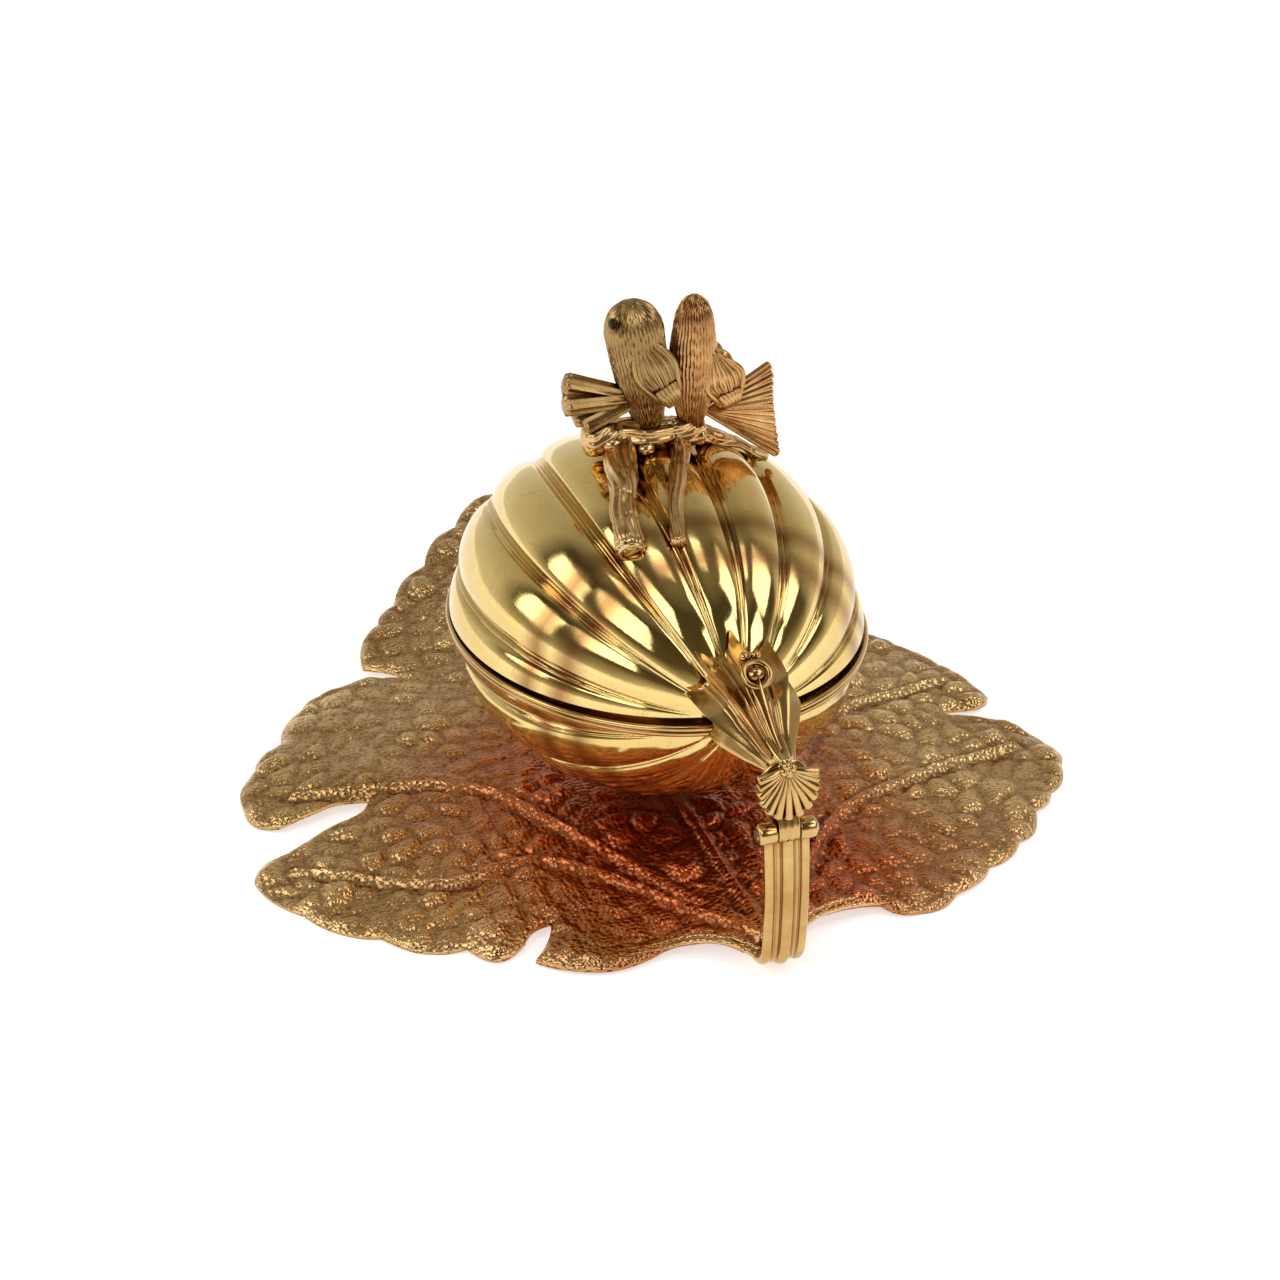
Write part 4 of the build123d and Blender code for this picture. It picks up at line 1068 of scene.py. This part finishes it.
birdShape = dict(
    left=dict(
        foot=(-1.0, 0.0, 84.2), lean=-9.0, combLines=44,
        profile=((2.2, 0.0), (3.3, 3.0), (4.2, 6.6), (5.3, 11.0), (5.8, 15.5), (6.0, 19.5), (6.0, 23.0),
                    (4.7, 26.2), (2.2, 28.1), (0.05, 28.6)),
        tailRoot=(-4.0, 0.0, 91.5), tailSize=(1.7, 2.25),
        tails=((-18.4, 0.4, 96.0), (-18.9, -1.2, 92.2), (-16.6, 0.2, 88.9), (-15.0, -0.6, 87.6)),
        wing=((-5.6, -4.4, 106.6), (2.4, -4.8, 91.2)), wingBack=((-5.6, 4.4, 106.6), (2.4, 4.8, 91.6)),
    ),
    right=dict(
        foot=(7.7, 0.0, 84.0), lean=1.5, combLines=38,
        profile=((2.2, 0.0), (3.5, 4.0), (4.5, 9.0), (4.9, 14.0), (4.8, 17.0), (4.3, 21.0), (3.8, 24.0),
                    (2.5, 26.8), (0.9, 28.0), (0.05, 28.2)),
        tailRoot=(10.6, 0.0, 87.0), tailSize=(0.75, 0.95),
        tails=[(x, 0.0, z) for x, z in (
            (24.6, 94.9), (25.0, 93.1), (25.1, 91.3), (25.1, 89.5), (25.2, 87.7), (25.3, 85.9), (25.5, 84.1),
            (25.7, 82.3), (25.9, 80.5), (26.2, 78.7), (26.4, 76.9), (26.6, 75.4))],
        wing=((11.4, -3.2, 100.0), (15.6, -2.6, 88.6)), wingBack=((11.4, 3.2, 100.0), (15.6, 2.6, 88.8)),
    ),
    eye=((-9.9, -3.6, 109.2), 0.85), eyeLook=(-0.72, -0.66, 0.2), eyeRing=1.1, eyeRingThick=0.22,
    combDepth=0.13, scaleDepth=0.03, inset=0.12,
)


def turnedBody(shape, rows=120, sides=200):
    line = spline(shape["profile"], rows)
    heights, widths = line[:, 1], np.maximum(line[:, 0], 0.03)
    lean = math.radians(shape["lean"])
    angle = np.linspace(0, tau, sides, endpoint=False)
    grid = []
    for r, h in zip(widths, heights):
        comb = np.cos(shape["combLines"] * angle + 0.6 * np.sin(h * 1.1))
        scales = np.cos(h * 2.6 + 1.3 * np.sin(shape["combLines"] / 3 * angle))
        relief = (birdShape["combDepth"] * comb + birdShape["scaleDepth"] * comb * scales) * min(1.0, r / 2.0)
        q = r - birdShape["inset"] + relief
        x, y = q * np.cos(angle), q * np.sin(angle)
        leanX = x * math.cos(lean) + h * math.sin(lean)
        grid.append(np.column_stack([leanX, y, -x * math.sin(lean) + h * math.cos(lean)]))
    return np.vstack(grid) + np.array(shape["foot"]), closedGrid(rows, sides)


def wingOf(top, tip, outward):
    # long feathers laid over each other, a cord along each edge and a small comb of coverts at the tip
    top, tip = np.array(top, dtype=float), np.array(tip, dtype=float)
    run = tip - top
    across = np.array([run[2], 0.0, -run[0]]) / np.linalg.norm(run)
    lift = np.array([0.0, outward, 0.0])
    parts = []
    for k in range(6):
        f = k / 5 - 0.5
        start = top + across * f * 1.4 + lift * 0.2
        middle = top * 0.5 + tip * 0.5 + across * f * 6.4 + lift * (1.5 - 2.2 * abs(f))
        end = tip - run * (0.20 + 0.10 * f) + across * f * 4.6 + lift * (0.9 - abs(f))
        path = [start, start * 0.5 + middle * 0.5, middle, end]
        sizes = (0.5, 0.95, 1.05, 0.45)
        parts.append(limb(path, sizes, sides=36, side=across, shape=flutes(12, 0.07), count=30, flatten=0.75))
    for f in (-0.62, 0.62):
        middle = top * 0.55 + tip * 0.45 + across * f * 6.6 + lift * 0.6
        path = [top - run * 0.02, middle, tip - run * 0.12 + across * f * 3.2 + lift * 0.5, tip]
        parts.append(limb(path, (0.45, 0.62, 0.6, 0.4), sides=16, side=across, count=36))
    for k in range(5):
        f = k / 4 - 0.5
        start = tip - run * 0.26 + across * f * 3.6 + lift * 1.1
        end = tip + across * f * 2.0 + lift * 0.3
        path = [start, start * 0.5 + end * 0.5 + lift * 0.5, end]
        parts.append(limb(path, (0.8, 0.95, 0.5), sides=20, side=across, count=14, flatten=0.8))
    parts.append(ball(top * 0.5 + tip * 0.5 - lift * 0.1, 1.0, squash=(2.9, 1.3, 6.2)))
    return parts


def tailOf(root, tips, sizes):
    root = np.array(root, dtype=float)
    sizes = (sizes[0], (sizes[0] + sizes[1]) / 2, sizes[1])
    parts = []
    for tip in np.array(tips, dtype=float):
        path = [root, root * 0.45 + tip * 0.55, tip]
        parts.append(limb(path, sizes, sides=40, side=(0, 1, 0), shape=flutes(8, 0.12), count=24))
    return parts


for birdName, body, metal in (("left", "bird_left", birdGold), ("right", "bird_right", birdCopper)):
    shape = birdShape[birdName]
    parts = [turnedBody(shape)]
    parts += wingOf(*shape["wing"], -1) + wingOf(*shape["wingBack"], 1)
    parts += tailOf(shape["tailRoot"], shape["tails"], shape["tailSize"])
    pieceName = "bird" + birdName.capitalize()
    keepMesh(pieceName, joinMeshes(pieceName, parts), "lid", metal, (body,), smoothAngle=50)
eyeSpot, eyeSize = birdShape["eye"]
eyeRing = loopTube(eyeSpot, birdShape["eyeLook"], eyeSize * birdShape["eyeRing"], birdShape["eyeRingThick"])
keepMesh("birdEye", joinMeshes("birdEye", [ball(eyeSpot, eyeSize), eyeRing]), "lid", darkEye, smoothAngle=60)
print("birds")


# solids from the part that keep their own shape

for nodeName, material in {
    "bowl_foot": leafGold, "bowl_screw": melonGold, "leaf_washer": leafGold, "leaf_nut": leafGold,
    "stem_rivet_front": leafGold, "stem_rivet_back": leafGold, "hinge_pin": pinSteel,
    "lid_band": twigGold, "calyx_rivet": melonGold, "twig_screw_left": melonGold,
    "twig_screw_right": melonGold,
}.items():
    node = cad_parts[nodeName]
    for materialSlot in node.material_slots:
        materialSlot.material = material
